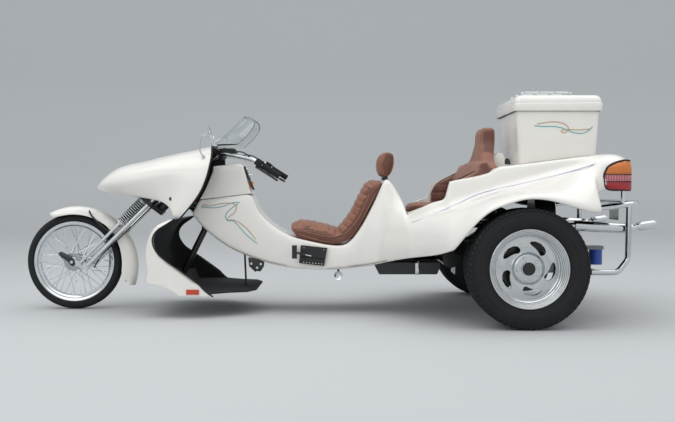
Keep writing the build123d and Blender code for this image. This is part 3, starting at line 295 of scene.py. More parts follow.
body_rows += [
    [(1400, 800, 607), (1404, 822, 603), (1400, 824, 650), (1400, 674, 788), (1402, 568, 852),
     (1402, 552, 880), (1402, 536, 900), (1402, 508, 906), (1402, 250, 906), (1402, 0, 906)],
    [(1430, 780, 609), (1438, 800, 604), (1424, 802, 650), (1424, 664, 792), (1430, 590, 862),
     (1430, 566, 886), (1430, 544, 904), (1430, 512, 909), (1430, 250, 909), (1430, 0, 909)],
    [(1390, 690, 668), (1392, 700, 672), (1398, 700, 700), (1440, 655, 780), (1455, 622, 868),
     (1455, 584, 892), (1455, 550, 907), (1455, 514, 912), (1455, 250, 912), (1455, 0, 912)],
    [(1448, 630, 716), (1452, 650, 716), (1462, 653, 745), (1476, 652, 800), (1482, 636, 872),
     (1482, 600, 896), (1482, 560, 911), (1482, 516, 916), (1482, 250, 916), (1482, 0, 916)],
    [(1500, 630, 722), (1500, 651, 721), (1506, 654, 750), (1512, 654, 810), (1512, 640, 866),
     (1512, 606, 898), (1512, 566, 914), (1512, 518, 920), (1512, 250, 920), (1512, 0, 920)],
    [(1560, 630, 727), (1560, 652, 726), (1560, 654, 752), (1560, 654, 810), (1560, 640, 864),
     (1560, 608, 898), (1560, 568, 915), (1560, 518, 922), (1560, 250, 922), (1560, 0, 922)],
    [(1604, 622, 730), (1604, 645, 729), (1604, 647, 752), (1604, 647, 808), (1603, 632, 858),
     (1602, 602, 886), (1600, 564, 904), (1600, 516, 913), (1600, 250, 914), (1600, 0, 914)],
    [(1624, 610, 732), (1624, 630, 731), (1625, 632, 752), (1625, 632, 804), (1624, 618, 848),
     (1622, 592, 872), (1620, 556, 889), (1620, 512, 898), (1620, 250, 900), (1620, 0, 900)],
    [(1631, 590, 733), (1631, 606, 732), (1632, 606, 752), (1632, 606, 800), (1632, 594, 838),
     (1631, 572, 860), (1630, 540, 874), (1630, 505, 882), (1630, 250, 884), (1630, 0, 884)],
    [(1631, 300, 734), (1631, 304, 733), (1632, 304, 752), (1632, 304, 790), (1632, 300, 820),
     (1632, 290, 838), (1632, 276, 850), (1632, 260, 858), (1632, 130, 860), (1632, 0, 860)],
    [(1631, 0, 734), (1631, 0, 733), (1632, 0, 752), (1632, 0, 790), (1632, 0, 812), (1632, 0, 826),
     (1632, 0, 838), (1632, 0, 846), (1632, 0, 852), (1632, 0, 856)],
]
bm = bmesh.new()
rows(bm, body_rows)
body_skin = moulding("body_moulding", bm, "main_body", 0.007)


# Nose cowl: the second white moulding, beaked over the front wheel and cut away under the fork.
# Its rows run from the beak back to the rubber-edged mouth that the handlebar comes out of.
cowl_rows = []
mouth_sweep = (5, 0, 67, 76, 67, 53, 24, 5, 0)
for xb, zb, xt, zt, half, low, belly, sweep in (
    # lower edge, crown, widest half, half at the lower edge as a share of it, height of the widest line as
    # a share, and the share of the mouth's curve
    (-1386, 727, -1386, 735, 60, 0.8, 0.5, 0), (-1364, 718, -1372, 756, 120, 0.8, 0.5, 0),
    (-1322, 708, -1330, 800, 186, 0.78, 0.42, 0), (-1262, 699, -1262, 851, 232, 0.74, 0.36, 0),
    (-1190, 688, -1190, 878, 266, 0.72, 0.36, 0), (-1104, 675, -1090, 894, 292, 0.74, 0.42, 0),
    (-1003, 661, -985, 922, 316, 0.80, 0.50, 0.1), (-945, 646, -900, 940, 330, 0.88, 0.55, 0.25),
    (-908, 616, -850, 950, 338, 0.94, 0.56, 0.45), (-892, 582, -800, 960, 344, 0.98, 0.56, 0.62),
    (-884, 560, -752, 972, 347, 1.0, 0.56, 0.8), (-862, 555, -715, 981, 348, 1.0, 0.56, 0.92),
    (-842, 554, -694, 984, 348, 1.0, 0.56, 1.0),
):
    h = zt - zb
    side = [(half * low - 26, 0.02), (half * low, 0.0), (half * (low + 1) / 2 + 3, belly * 0.5),
            (half, belly), (half * 0.965, belly + (1 - belly) * 0.34),
            (half * 0.84, belly + (1 - belly) * 0.66), (half * 0.58, belly + (1 - belly) * 0.90),
            (half * 0.28, belly + (1 - belly) * 0.985), (0, 1.0)]
    bowed = [(y, t, sweep * bow) for (y, t), bow in zip(side, mouth_sweep)]
    cowl_rows.append([(xb + (xt - xb) * t + bow, y, zb + h * t) for y, t, bow in bowed])
bm = bmesh.new()
rows(bm, cowl_rows)
pane = bm.copy()
for mesh, inside in ((bm, False), (pane, True)):
    middles = [(f, f.calc_center_median()) for f in mesh.faces]
    spare = [f for f, m in middles if (-1.376 < m.x < -1.262 and m.y < 0.1 and m.z > 0.755) != inside]
    bmesh.ops.delete(mesh, geom=spare, context="FACES")
moulding("cowl_moulding", bm, "nose_cowl", 0.006)

# The lamp cover is clear cast acrylic, pressed to the beak's own curve and set into its window.
acrylic, tree, shader = start_material("clear_cast_acrylic", {
    "Base Color": linear("#F4F7F7"), "Roughness": 0.03, "IOR": 1.49, "Transmission Weight": 1.0})
coords = add_node(tree, "TexCoord", {})
scuff = add_node(tree, "TexNoise", {"Vector": coords.outputs["Object"], "Scale": 90.0, "Detail": 4.0})
relief = add_node(tree, "Bump", {"Height": scuff.outputs["Fac"], "Strength": 0.05, "Distance": 0.0003})
tree.links.new(relief.outputs["Normal"], shader.inputs["Normal"])
lamp_pane = finish_piece("headlamp_pane", pane, acrylic, "body", ("headlamp_cover",),
                         crease=0, mirror=True)
thicken(lamp_pane, 0.003)


# Extruded black rubber edging is pushed over every cut edge of the mouldings. It is a soft strip with
# a dull bloom, 9 mm across, that follows the mouth of the cowl and runs on down the leg shields.
edging, tree, shader = start_material("extruded_black_rubber",
    {"Base Color": linear("#1B1C1D"), "Roughness": 0.62, "Specular IOR Level": 0.35})
coords = add_node(tree, "TexCoord", {})
bloom = add_node(tree, "TexNoise", {"Vector": coords.outputs["Object"], "Scale": 60.0, "Detail": 3.0})
shade = add_node(tree, "Mix", {"data_type": "RGBA", 0: bloom.outputs["Fac"], 6: linear("#151617"),
    7: linear("#232426")})
tree.links.new(shade.outputs[2], shader.inputs["Base Color"])
pores = add_node(tree, "TexNoise", {"Vector": coords.outputs["Object"], "Scale": 900.0, "Detail": 2.0})
relief = add_node(tree, "Bump", {"Height": pores.outputs["Fac"], "Strength": 0.25, "Distance": 0.0005})
tree.links.new(relief.outputs["Normal"], shader.inputs["Normal"])


def wire(name, runs, radius, paint, body, replaces=(), sides=3, order=3, closed=False, mirror=False):
    """A round bar, pipe or wire bent along each run of points, smooth between them."""
    bend = bpy.data.curves.new(name, "CURVE")
    bend.dimensions = "3D"
    bend.bevel_depth = radius / 1000
    bend.bevel_resolution = sides
    bend.resolution_u = 8
    bend.use_fill_caps = not closed
    for run in runs + ([[(x, -y, z) for x, y, z in r] for r in runs] if mirror else []):
        line = bend.splines.new("NURBS")
        line.points.add(len(run) - 1)
        for point, p in zip(line.points, run):
            point.co = (*(Vector(p) / 1000), 1)
        line.order_u = min(order, len(run))
        line.use_endpoint_u = True
        line.use_cyclic_u = closed
    rod = bpy.data.objects.new(name, bend)
    bpy.context.collection.objects.link(rod)
    mesh = bpy.data.meshes.new_from_object(rod.evaluated_get(bpy.context.evaluated_depsgraph_get()))
    bpy.data.objects.remove(rod)
    bm = bmesh.new()
    bm.from_mesh(mesh)
    return finish_piece(name, bm, paint, body, replaces)


wire("cowl_edging", [cowl_rows[-1][1:]], 4.5, edging, "body", mirror=True)


# Leg shields: a white wall in front of the rider's shins, wrapped back to a low cheek at each side.
# Laminated in one piece and bolted to the floor, black inside, its open edge capped with edging.
shield_ribs = (
    # height, x of the front wall, x of the open edge
    (556, -893, -868), (536, -935, -893), (522, -962, -915), (492, -990, -962), (437, -1016, -990),
    (363, -1037, -957), (320, -1035, -900), (292, -1028, -859), (253, -1026, -803), (222, -1041, -760),
    (198, -1040, -728), (190, -1036, -716))


cheek = 430


def wall_half(x):
    """How far out the shield's skin stands at a place along the trike."""
    plan = ((-1060, 300), (-1040, 372), (-990, 408), (-900, 427), (-630, cheek))
    for (x0, y0), (x1, y1) in zip(plan, plan[1:]):
        if x <= x1:
            return y0 + (y1 - y0) * (x - x0) / (x1 - x0)
    return cheek


bm = bmesh.new()
shield_rows = []
for z, front, edge in shield_ribs:
    widest = cheek - max(z - 500, 0) * 1.35
    across = [(front, y, z) for y in (0, 140, 260)]
    along = [front + (edge - front) * u for u in (0, 0.12, 0.35, 0.7, 1.0)]
    shield_rows.append(across + [(x, min(wall_half(x), widest), z) for x in along])
rows(bm, shield_rows)
cheek_top = shield_rows[-1][4:]
rows(bm, [cheek_top, [(-880, 427, 170), (-830, 428, 167), (-762, 429, 165), (-692, 430, 162)],
          [(-852, 428, 140), (-800, 429, 138), (-734, 430, 138), (-660, 431, 136)],
          [(-840, 428, 127), (-790, 429, 126), (-722, 430, 125), (-640, 431, 124)]])
shield_skin = moulding("leg_shield_moulding", bm, "leg_shields", 0.006)
opening = [row[-1] for row in shield_rows] + [(-692, 430, 162), (-660, 430, 136), (-640, 430, 124)]
wire("leg_shield_edging", [opening], 4.5, edging, "body", mirror=True)

# The stripes are sprayed lacquer over the gelcoat, two to six millimetres wide and thin.
stripe_paints = {}
for name, code in (("umber", "#3B302B"), ("tan", "#B99B7C"), ("turquoise", "#5FA9B0"), ("lilac", "#B9B9D6")):
    stripe_paints[name], tree, shader = start_material("sprayed_lacquer_" + name,
        {"Base Color": linear(code), "Roughness": 0.3})
    coords = add_node(tree, "TexCoord", {})
    mottle = add_node(tree, "TexNoise", {"Vector": coords.outputs["Object"], "Scale": 300.0, "Detail": 2.0})
    relief = add_node(tree, "Bump", {"Height": mottle.outputs["Fac"], "Strength": 0.1, "Distance": 0.0003})
    tree.links.new(relief.outputs["Normal"], shader.inputs["Normal"])


def skin_of(piece):
    """The finished surface of a piece, for setting other pieces down on it."""
    return BVHTree.FromObject(piece, bpy.context.evaluated_depsgraph_get())


def laid(skin, run):
    """A run of (x, z) seen from the side, laid down on both flanks of a surface, in mm."""
    lines = []
    for hand in (-1, 1):
        hits = [skin.ray_cast(Vector((x / 1000, hand * 1.3, z / 1000)), Vector((0, -hand, 0)))[0]
                for x, z in run]
        lines.append([tuple(hit * 1000) for hit in hits if hit])
    return lines


def stripe(name, skin, run, half, shade):
    """A stripe of lacquer along a run of (x, z), on both flanks, half so many mm wide."""
    wire(name, laid(skin, run), half, stripe_paints[shade], "body", sides=1)


shield_side = skin_of(shield_skin)
for inward, half, shade in ((15, 1.1, "umber"), (22, 0.8, "tan")):
    stripe("shield_stripe_" + shade, shield_side, [(x - inward, z) for x, y, z in opening[3:11]], half, shade)


# Front mudguard: one white moulding, a deep channel over the spoked wheel, its skirt cut to the tyre's
# line and drawn down behind it. It is bolted to the fork's legs through two black stays.
guard_axle = Vector((-1514, 0, 262))
guard_crown = 363
guard_skirt = guard_crown - 60
guard_rows = []
for turn, edge in ((116.2, 357), (115, 350), (113, 341), (109, 330), (100, 326), (90, 322), (78, 317),
                   (66, 311), (54, 304), (42, 297), (30, 291), (18, 283), (8, 278), (0, 275), (-6, 273),
                   (-11, 278), (-14.5, 296), (-17, 318), (-19, 348)):
    way = Vector((cos(radians(turn)), 0, sin(radians(turn))))
    arch = []
    for y, drop in ((0, 0), (20, 2), (38, 9), (50, 22), (56, 42), (58, 60)):
        r = max(guard_crown - drop, edge + (60 - drop) * 0.04)
        arch.append(guard_axle + way * r + Vector((0, y, 0)))
    for r in (300 if edge < 290 else (guard_skirt + edge) / 2, edge):
        arch.append(guard_axle + way * r + Vector((0, 58, 0)))
    guard_rows.append(arch)
bm = bmesh.new()
rows(bm, guard_rows)
moulding("front_mudguard", bm, "front_fender", 0.004, "fork")


# The bright parts are steel, polished, then plated with nickel and chrome. They mirror the floor and
# the sky, with only a trace of road dust. The black parts are the same steel in stove enamel.
def surface(name, settings, shades, patch, grain, depth, strength=0.3):
    """A finish with two shades in patches so many mm across, and a relief of grains that size, in mm."""
    made, tree, shader = start_material(name, {"Base Color": linear(shades[0]), **settings})
    coords = add_node(tree, "TexCoord", {})
    patches = add_node(tree, "TexNoise", {"Vector": coords.outputs["Object"], "Scale": 1000 / patch,
        "Detail": 3.0})
    shade = add_node(tree, "Mix", {"data_type": "RGBA", 0: patches.outputs["Fac"], 6: linear(shades[0]),
        7: linear(shades[1])})
    tree.links.new(shade.outputs[2], shader.inputs["Base Color"])
    grains = add_node(tree, "TexNoise", {"Vector": coords.outputs["Object"], "Scale": 1000 / grain,
        "Detail": 2.0})
    relief = add_node(tree, "Bump", {"Height": grains.outputs["Fac"], "Strength": strength,
        "Distance": depth / 1000})
    tree.links.new(relief.outputs["Normal"], shader.inputs["Normal"])
    return made


chrome = surface("bright_chrome_plate", {"Metallic": 1.0, "Roughness": 0.09}, ("#E1E4E6", "#CFD3D6"), 40, 3,
                 0.02, 0.06)
enamel = surface("black_stove_enamel", {"Roughness": 0.34, "Coat Weight": 0.3, "Coat Roughness": 0.1},
                 ("#1C1D1F", "#121314"), 60, 1.5, 0.05, 0.15)
plastic = surface("black_moulded_abs", {"Roughness": 0.5, "IOR": 1.53}, ("#1E1F20", "#161718"), 30, 0.8,
                  0.08, 0.3)
rubber = surface("moulded_grip_rubber", {"Roughness": 0.72, "Specular IOR Level": 0.3},
                 ("#1F2021", "#18191A"), 20, 0.8, 0.1, 0.35)
dial_white = surface("printed_dial_card", {"Roughness": 0.5}, ("#E7E6E0", "#DEDDD6"), 20, 0.6, 0.02, 0.1)


def lathe(bm, profile, steps, place=None, closed=False):
    """Spins a profile of (radius, height) in mm once round, then moves it to its place."""
    old = set(bm.verts)
    verts = [bm.verts.new((r / 1000, 0, h / 1000)) for r, h in profile]
    edges = [bm.edges.new(pair) for pair in zip(verts, verts[1:])]
    if closed:
        edges.append(bm.edges.new((verts[-1], verts[0])))
    bmesh.ops.spin(bm, geom=verts + edges, cent=(0, 0, 0), axis=(0, 0, 1), angle=2 * pi, steps=steps,
                   use_merge=True)
    new = [v for v in bm.verts if v not in old]
    bmesh.ops.remove_doubles(bm, verts=new, dist=0.00005)
    new = [v for v in bm.verts if v not in old]
    if place is not None:
        bmesh.ops.transform(bm, matrix=place, verts=new)
    return new


def facing(point, way):
    """The place of a thing at a point in mm, its Z turned to look that way."""
    return Matrix.Translation(Vector(point) / 1000) @ Vector(way).to_track_quat("Z", "Y").to_matrix().to_4x4()


def slab(bm, outline, low, high, soft, place=None, segments=2):
    """An outline in mm, thick from low to high along its own Z, with its edges rounded."""
    old = set(bm.verts)
    face = bm.faces.new([bm.verts.new((x / 1000, y / 1000, low / 1000)) for x, y in outline])
    grown = bmesh.ops.extrude_face_region(bm, geom=[face])["geom"]
    bmesh.ops.translate(bm, verts=[g for g in grown if isinstance(g, bmesh.types.BMVert)],
                        vec=(0, 0, (high - low) / 1000))
    new = [v for v in bm.verts if v not in old]
    edges = list({e for v in new for e in v.link_edges})
    bmesh.ops.recalc_face_normals(bm, faces=list({f for v in new for f in v.link_faces}))
    if soft:
        bmesh.ops.bevel(bm, geom=edges, offset=soft / 1000, affect="EDGES", segments=segments, profile=0.5,
                        material=-1, clamp_overlap=True)
    new = [v for v in bm.verts if v not in old]
    if place is not None:
        bmesh.ops.transform(bm, matrix=place, verts=new)
    return new


def peg(bm, radius, low, high, steps, place):
    """A plain round pin from low to high along its place's Z, in mm."""
    lathe(bm, [(0, low), (radius, low), (radius, high), (0, high)], steps, place)


# An outline drawn as (x, z) stands upright along the trike through this turn, its thickness along +Y.
upright = Matrix(((1, 0, 0, 0), (0, 0, 1, 0), (0, 1, 0, 0), (0, 0, 0, 1)))


# Springer fork: two fixed legs in bent yokes and two sprung ones ahead of them, chromed. Its axis
# leans back 45 degrees, so places on it are told by how far along and how far ahead of it they are.
axis_foot = -1623
leg_half = 84
fixed_leg, sprung_leg = 60, 102
spring_foot, spring_rise, spring_radius = 658.6, 166.8, 23


def on_fork(along, ahead=0.0, side=0.0):
    """The place that far along the steering axis, that far ahead of it and out to the side, in mm."""
    return Vector((axis_foot + (along - ahead) * sqrt(0.5), side, (along + ahead) * sqrt(0.5)))


def on_leg(ahead, hand):
    """The place of a thing turned about a leg, its Z up the leg."""
    return facing(on_fork(0, ahead, hand * leg_half), Vector((1, 0, 1)).normalized())


coils = []
for hand in (-1, 1):
    coil = []
    for step in range(12 * 12 + 25):
        # Twelve turns of twelve steps, with a flat turn below and above them.
        rise = spring_rise * min(max(step - 12, 0) / 144, 1)
        turn = radians(30 * step)
        out = hand * leg_half + spring_radius * sin(turn)
        coil.append(tuple(on_fork(spring_foot + rise, sprung_leg + spring_radius * cos(turn), out)))
    coils.append(coil)
wire("fork_coil_springs", coils, 3.6, chrome, "fork", ("fork_springs",), sides=2)
bm = bmesh.new()
for hand in (-1, 1):
    for ahead, radius, low, high in ((fixed_leg, 14.6, 300, 1128), (sprung_leg, 10.6, 280, 868)):
        lathe(bm, [(0, low), (radius - 2, low), (radius, low + 2), (radius, high - 2), (radius - 2, high),
                   (0, high)], 24, on_leg(ahead, hand))
    for along, tall in ((642, 12), (830, 5)):
        seat = [(12, 0), (29, 0), (31, 2), (31, tall - 2), (29, tall), (12, tall)]
        lathe(bm, [(r, along + h) for r, h in seat], 32, on_leg(sprung_leg, hand), closed=True)
    for ahead, along, radius, tall in ((fixed_leg, 1127, 20, 12), (sprung_leg, 866, 15, 10)):
        lathe(bm, [(0, along), (radius, along), (radius, along + tall - 3), (radius - 4, along + tall),
                   (0, along + tall)], 6, on_leg(ahead, hand))
finish_piece("fork_legs_and_seats", bm, chrome, "fork", crease=35)
hose = ((1090, 20, -70), (980, 30, -106), (760, 34, -102), (560, 38, -100), (400, 44, -98), (340, 20, -90))
wire("brake_hose", [[tuple(on_fork(*spot)) for spot in hose]], 3.5, rubber, "fork")
# Black sleeves on the sprung legs inside the coils: a dark part put where the real leg is only in shade,
# painted shade.
bm = bmesh.new()
for hand in (-1, 1):
    peg(bm, 14, 656, 826, 20, on_leg(sprung_leg, hand))
finish_piece("painted_shade_spring_sleeves", bm, enamel, "fork", crease=35)
bm = bmesh.new()
slab(bm, [(-1618, 338), (-1604, 352), (-1560, 330), (-1520, 300), (-1516, 270), (-1535, 262), (-1560, 290),
          (-1600, 318)], -76, -50, 4, upright)
finish_piece("brake_caliper_bracket", bm, enamel, "fork", crease=35)
wire("mudguard_stays", [[(-1430, 64, 598), (-1436, 66, 560), tuple(on_fork(560, 70, 70))],
                        [(-1250, 64, 505), (-1330, 70, 470), tuple(on_fork(470, 58, 72))]],
     5, enamel, "fork", mirror=True)


# Front wheel: forty polished wire spokes laced crosswise from a chromed hub to a chromed steel rim,
# with a ground steel plate at the hub's left. The tyre is narrow and ribbed, of black rubber.
disc_steel = surface("ground_brake_steel", {"Metallic": 1.0, "Roughness": 0.3}, ("#B9BCBE", "#9C9FA2"), 25,
                     1.0, 0.03, 0.2)
road_rubber = surface("vulcanised_tyre_rubber", {"Roughness": 0.82, "Specular IOR Level": 0.25},
                      ("#2A2C2E", "#1D1E20"), 35, 1.4, 0.12, 0.4)
front_centre = Vector((-1535, 0, 289))
front_hub = facing(front_centre, (0, -1, 0))


def both(profile, *keel):
    """A profile of (radius, height) with its mirror image below, and what stands between them."""
    return profile + list(keel) + [(r, -h) for r, h in profile[::-1]]


bm = bmesh.new()
lathe(bm, both([(241, -28), (238, -28), (232, -25.5), (224, -24), (220, -18), (207, -12)], (205, 0))
      + both([(241, 24), (234, 22), (229, 18), (214, 11)], (213, 0)), 96, front_hub, closed=True)
lathe(bm, both([(9.2, -54), (23, -54), (26, -51), (26, -46), (42, -46), (44, -44), (44, -42), (42, -40),
                (27, -40), (24, -30)], (23, 0)), 48, front_hub, closed=True)
finish_piece("front_rim_and_hub", bm, chrome, "front_wheel_body", ("front_wheel",), crease=40)
spokes = []
bm = bmesh.new()
for number in range(40):
    flank = 1 if number % 2 else -1
    angle = radians(number * 9)
    laced = angle + (1 if number % 4 < 2 else -1) * radians(62)
    ends = [Vector((r * cos(a), flank * y, r * sin(a))) for r, a, y in ((41, laced, 43), (209, angle, 7))]
    spokes.append([tuple(front_centre + end) for end in ends])
    peg(bm, 3.2, 202, 212, 6, facing(front_centre + Vector((0, flank * 7, 0)), (cos(angle), 0, sin(angle))))
wire("front_spokes", spokes, 2.1, chrome, "front_wheel_body", sides=1)
finish_piece("spoke_nipples", bm, chrome, "front_wheel_body", crease=30)
bm = bmesh.new()
lathe(bm, [(27, 46.5), (52, 46.5), (54, 48), (54, 50), (52, 51.5), (27, 51.5)], 48, front_hub, closed=True)
finish_piece("front_hub_plate", bm, disc_steel, "front_wheel_body", crease=30)
bm = bmesh.new()
lathe(bm, both([(228.6, 20.5), (240, 20.4), (243, 24), (247, 31), (254, 35), (263, 34.6), (268, 33.4),
                (272.5, 30), (276, 28), (279, 23.6), (276.6, 22.4), (276.8, 20.8), (281.4, 19.6),
                (285, 13.4), (282.6, 12.2), (282.8, 10.6), (286.6, 9.6), (288.4, 4), (286, 2.6)])
      + both([(228.6, -12), (249, -14), (258, -23), (276, -6)]), 96, front_hub, closed=True)
finish_piece("front_tyre_ribbed", bm, road_rubber, "front_wheel_body", ("front_tyre",),
             crease=38)


# Handlebar: one chromed tube bent up from two risers and swept back to ribbed rubber grips. Each end
# has a switch box and a blade lever, and two black cables arch forward from the clamp.
clamp_half = 46
bar_end, grip_start = Vector((-271, 350, 797)), Vector((-420, 315, 893))
bar_run = [(-640, 0, 925), (-640, 60, 925), (-639, 100, 926), (-600, 178, 927), (-556, 226, 921),
           (-490, 270, 908), tuple(grip_start), (-390, 322, 873), tuple(bar_end)]
wire("bent_handlebar", [[(x, -y, z) for x, y, z in bar_run[::-1]] + bar_run[1:]], 12.5, chrome, "fork",
     ("handlebar",), sides=4)
risers = []
for hand in (-1, 1):
    foot = [tuple(on_fork(along, ahead, hand * clamp_half)) for along, ahead in ((1127.3, 0), (1210, 0),
        (1238, -6))]
    risers.append(foot + [(-672, hand * clamp_half, 934), (-640, hand * clamp_half, 925)])
wire("bar_risers", risers, 11, chrome, "fork")
bm = bmesh.new()
for hand in (-1, 1):
    clamp = facing((-640, hand * clamp_half, 925), (0, 1, 0))
    lathe(bm, both([(13, -12), (19, -12), (21, -10)]), 24, clamp, closed=True)
finish_piece("bar_clamps", bm, enamel, "fork", crease=35)
grip_way = (bar_end - grip_start).normalized()
bm = bmesh.new()
levers = bmesh.new()
for hand in (-1, 1):
    way = Vector((grip_way.x, hand * grip_way.y, grip_way.z))
    end = Vector((bar_end.x, hand * bar_end.y, bar_end.z))
    ribs = [(12.8, -118), (19, -118), (20, -115), (19, -112)]
    for rib in range(17):
        foot = -110 + rib * 6
        ribs += [(16.2, foot), (17.2, foot + 1.5), (17.2, foot + 3.5), (16.2, foot + 5)]
    lathe(bm, ribs + [(18, -8), (18, -2), (15, 0), (0, 0)], 24, facing(end, way))
    box = end - way * 142
    slab(bm, [(-20, -17), (12, -20), (22, -8), (22, 14), (6, 22), (-16, 20)], -24, 20, 4, facing(box, way))
    slab(bm, [(-8, -30), (12, -30), (12, -14), (-8, -14)], -10, 10, 3, facing(box, way))
    blade = [(0, -7), (40, -10), (120, -9), (150, -6), (158, 0), (150, 6), (120, 5), (40, 6), (0, 7)]
    flat = way.cross(Vector((0, hand, 0))).normalized()
    stance = Matrix((way, flat, way.cross(flat).normalized())).transposed().to_4x4()
    slab(levers, blade, -3, 3, 2, Matrix.Translation((box + Vector((-22, 0, -18))) / 1000) @ stance)
finish_piece("ribbed_grips_and_switches", bm, rubber, "fork", ("grips",), crease=40)
finish_piece("blade_levers", levers, enamel, "fork", crease=40)
wire("control_cables", [[(-436, 308, 900), (-462, 297, 927), (-506, 270, 944), (-552, 236, 936),
                         (-592, 190, 932), (-630, 120, 938), (-668, 60, 938), tuple(on_fork(1180, -30, 40))],
                        [(-436, 308, 893), (-480, 272, 911), (-556, 200, 923), (-640, 90, 942),
                         tuple(on_fork(1190, -22, 34))]], 3.4, rubber, "fork", mirror=True)

# The gauge pod is a black moulded box on the bar with two round white dials in chromed rims.
bm = bmesh.new()
slab(bm, [(-655, 938), (-650, 970), (-566, 970), (-551, 948), (-562, 938)], -60, 60, 5, upright, 3)
finish_piece("gauge_box", bm, plastic, "fork", ("gauge_pod",), crease=40)
bm = bmesh.new()
rims = bmesh.new()
for y in (-30, 30):
    peg(bm, 21, 0, 1, 32, facing((-608, y, 969.5), (0, 0, 1)))
    lathe(rims, [(21, 0), (24, 0), (24, 3.5), (22.5, 4), (21, 3.5)], 32, facing((-608, y, 969.3), (0, 0, 1)),
          closed=True)
finish_piece("gauge_dials", bm, dial_white, "fork", crease=30)
finish_piece("gauge_rims", rims, chrome, "fork", crease=30)


# Dash: a white moulded box on the neck, open to the handlebar in front. The black ignition panel on
# its sloping back holds the lock, its key and two warning lamps.
dash_rows = []
lean = [(130, 0.0), (131, 0.06), (132, 0.5), (131, 0.86), (126, 0.965), (112, 1.0)]
for x0, z0, x1, z1 in (
    # lower edge, then crown
    (-757, 665, -757, 665.5), (-722, 669.5, -724, 730), (-690, 673.5, -696, 812), (-660, 677, -680, 862),
    (-640, 679.5, -652, 866), (-590, 685, -596, 870), (-540, 691, -546, 876), (-497, 695.5, -524, 879),
    (-476, 698, -515, 876), (-462, 700, -507, 864),
):
    side = [(x0 + (x1 - x0) * t, y, z0 + (z1 - z0) * t) for y, t in lean]
    dash_rows.append(side + [(x1, 60, z1), (x1, 0, z1)])
bm = bmesh.new()
rows(bm, dash_rows[3:])
back_foot, back_rise = 700, 164
inset = [(x + 8, y * 0.9, back_foot + (z - back_foot) * 0.97) for x, y, z in dash_rows[-1]]
middle = [(-449 - 52 * (z - back_foot) / back_rise, 0, back_foot + (z - back_foot) * 0.97)
          for x, y, z in dash_rows[-1]]
rows(bm, [dash_rows[-1], inset, middle])
rows(bm, [row[:4] for row in dash_rows[:4]])
moulding("dash_moulding", bm, "dash_pod", 0.005, crease=50)
panel = Vector((-472, -82, 785))
panel_way = Vector((180, 0, 71)).normalized()
panel_up = Vector((-71, 0, 180)).normalized()
bm = bmesh.new()
slab(bm, [(-26, -70), (26, -70), (30, -64), (30, 72), (24, 80), (-24, 80), (-30, 72), (-30, -64)], -2, 7, 2,
     facing(panel, panel_way))
finish_piece("ignition_panel", bm, plastic, "body", crease=40)
bm = bmesh.new()
for up, radius in ((58, 9), (20, 11), (-14, 9)):
    spot = panel + panel_up * up + panel_way * 7
    lathe(bm, [(0, 0), (radius, 0), (radius, 5), (radius - 2, 7), (0, 7)], 24, facing(spot, panel_way))
key_spot = panel + panel_up * 20 + panel_way * 14
slab(bm, [(-2, -6), (18, -6), (24, 0), (18, 6), (-2, 6)], -1.5, 1.5, 0.8, facing(key_spot, (0, -1, 0)))
finish_piece("lock_and_lamps", bm, chrome, "body", crease=35)
fob_leather = surface("dyed_orange_leather", {"Roughness": 0.6}, ("#D9861E", "#B96A14"), 12, 0.8, 0.1, 0.4)
bm = bmesh.new()
slab(bm, [(-470, 770), (-452, 776), (-444, 760), (-449, 738), (-462, 730), (-474, 742)], -96, -92, 1.5,
     upright)
finish_piece("key_fob", bm, fob_leather, "body", crease=40)


# Windscreen: a leaf of clear acrylic 4 mm thick, curved round and leaned back over the bar, its edge
# polished. Two chromed brackets hold its foot to the cowl.
screen_nose, screen_foot, screen_lean, screen_rise = -698, 984.5, 199, 174
screen_rows = []
for t, narrow, back in ((0.0, 1.0, 0), (0.2, 1.0, 0), (0.45, 0.97, 2), (0.68, 0.88, 6), (0.85, 0.7, 10),
                        (0.95, 0.48, 12), (1.0, 0.24, 14)):
    row = []
    for x, y in ((-698, 0), (-696, 25), (-688, 50), (-672, 82), (-651, 113), (-622, 144), (-590, 170),
                 (-560, 186), (-529, 197)):
        across = screen_nose + (x - screen_nose) * narrow ** 1.3
        row.append((across + screen_lean * t - back, y * narrow, screen_foot + screen_rise * t))
    screen_rows.append(row)
bm = bmesh.new()
rows(bm, screen_rows)
screen = finish_piece("curved_windscreen", bm, acrylic, "body", ("windscreen",), crease=0,
                      mirror=True)
thicken(screen, 0.004)
rim = [row[-1] for row in screen_rows] + screen_rows[-1][::-1][1:]
edge_acrylic = surface("polished_acrylic_edge", {"Roughness": 0.12, "Transmission Weight": 0.5, "IOR": 1.49},
                       ("#AEB8B6", "#99A5A3"), 20, 1.0, 0.02, 0.1)
wire("windscreen_edge", [rim], 2.4, edge_acrylic, "body", sides=1, mirror=True)
bm = bmesh.new()
for hand in (-1, 1):
    foot = facing((-678, hand * 92, 984), (-0.4, hand * 0.5, 0.6))
    slab(bm, [(-20, -7), (20, -7), (24, 0), (20, 7), (-20, 7), (-24, 0)], -2, 2, 1, foot)
    peg(bm, 6, 2, 5, 12, foot)
finish_piece("screen_brackets", bm, chrome, "body", crease=35)

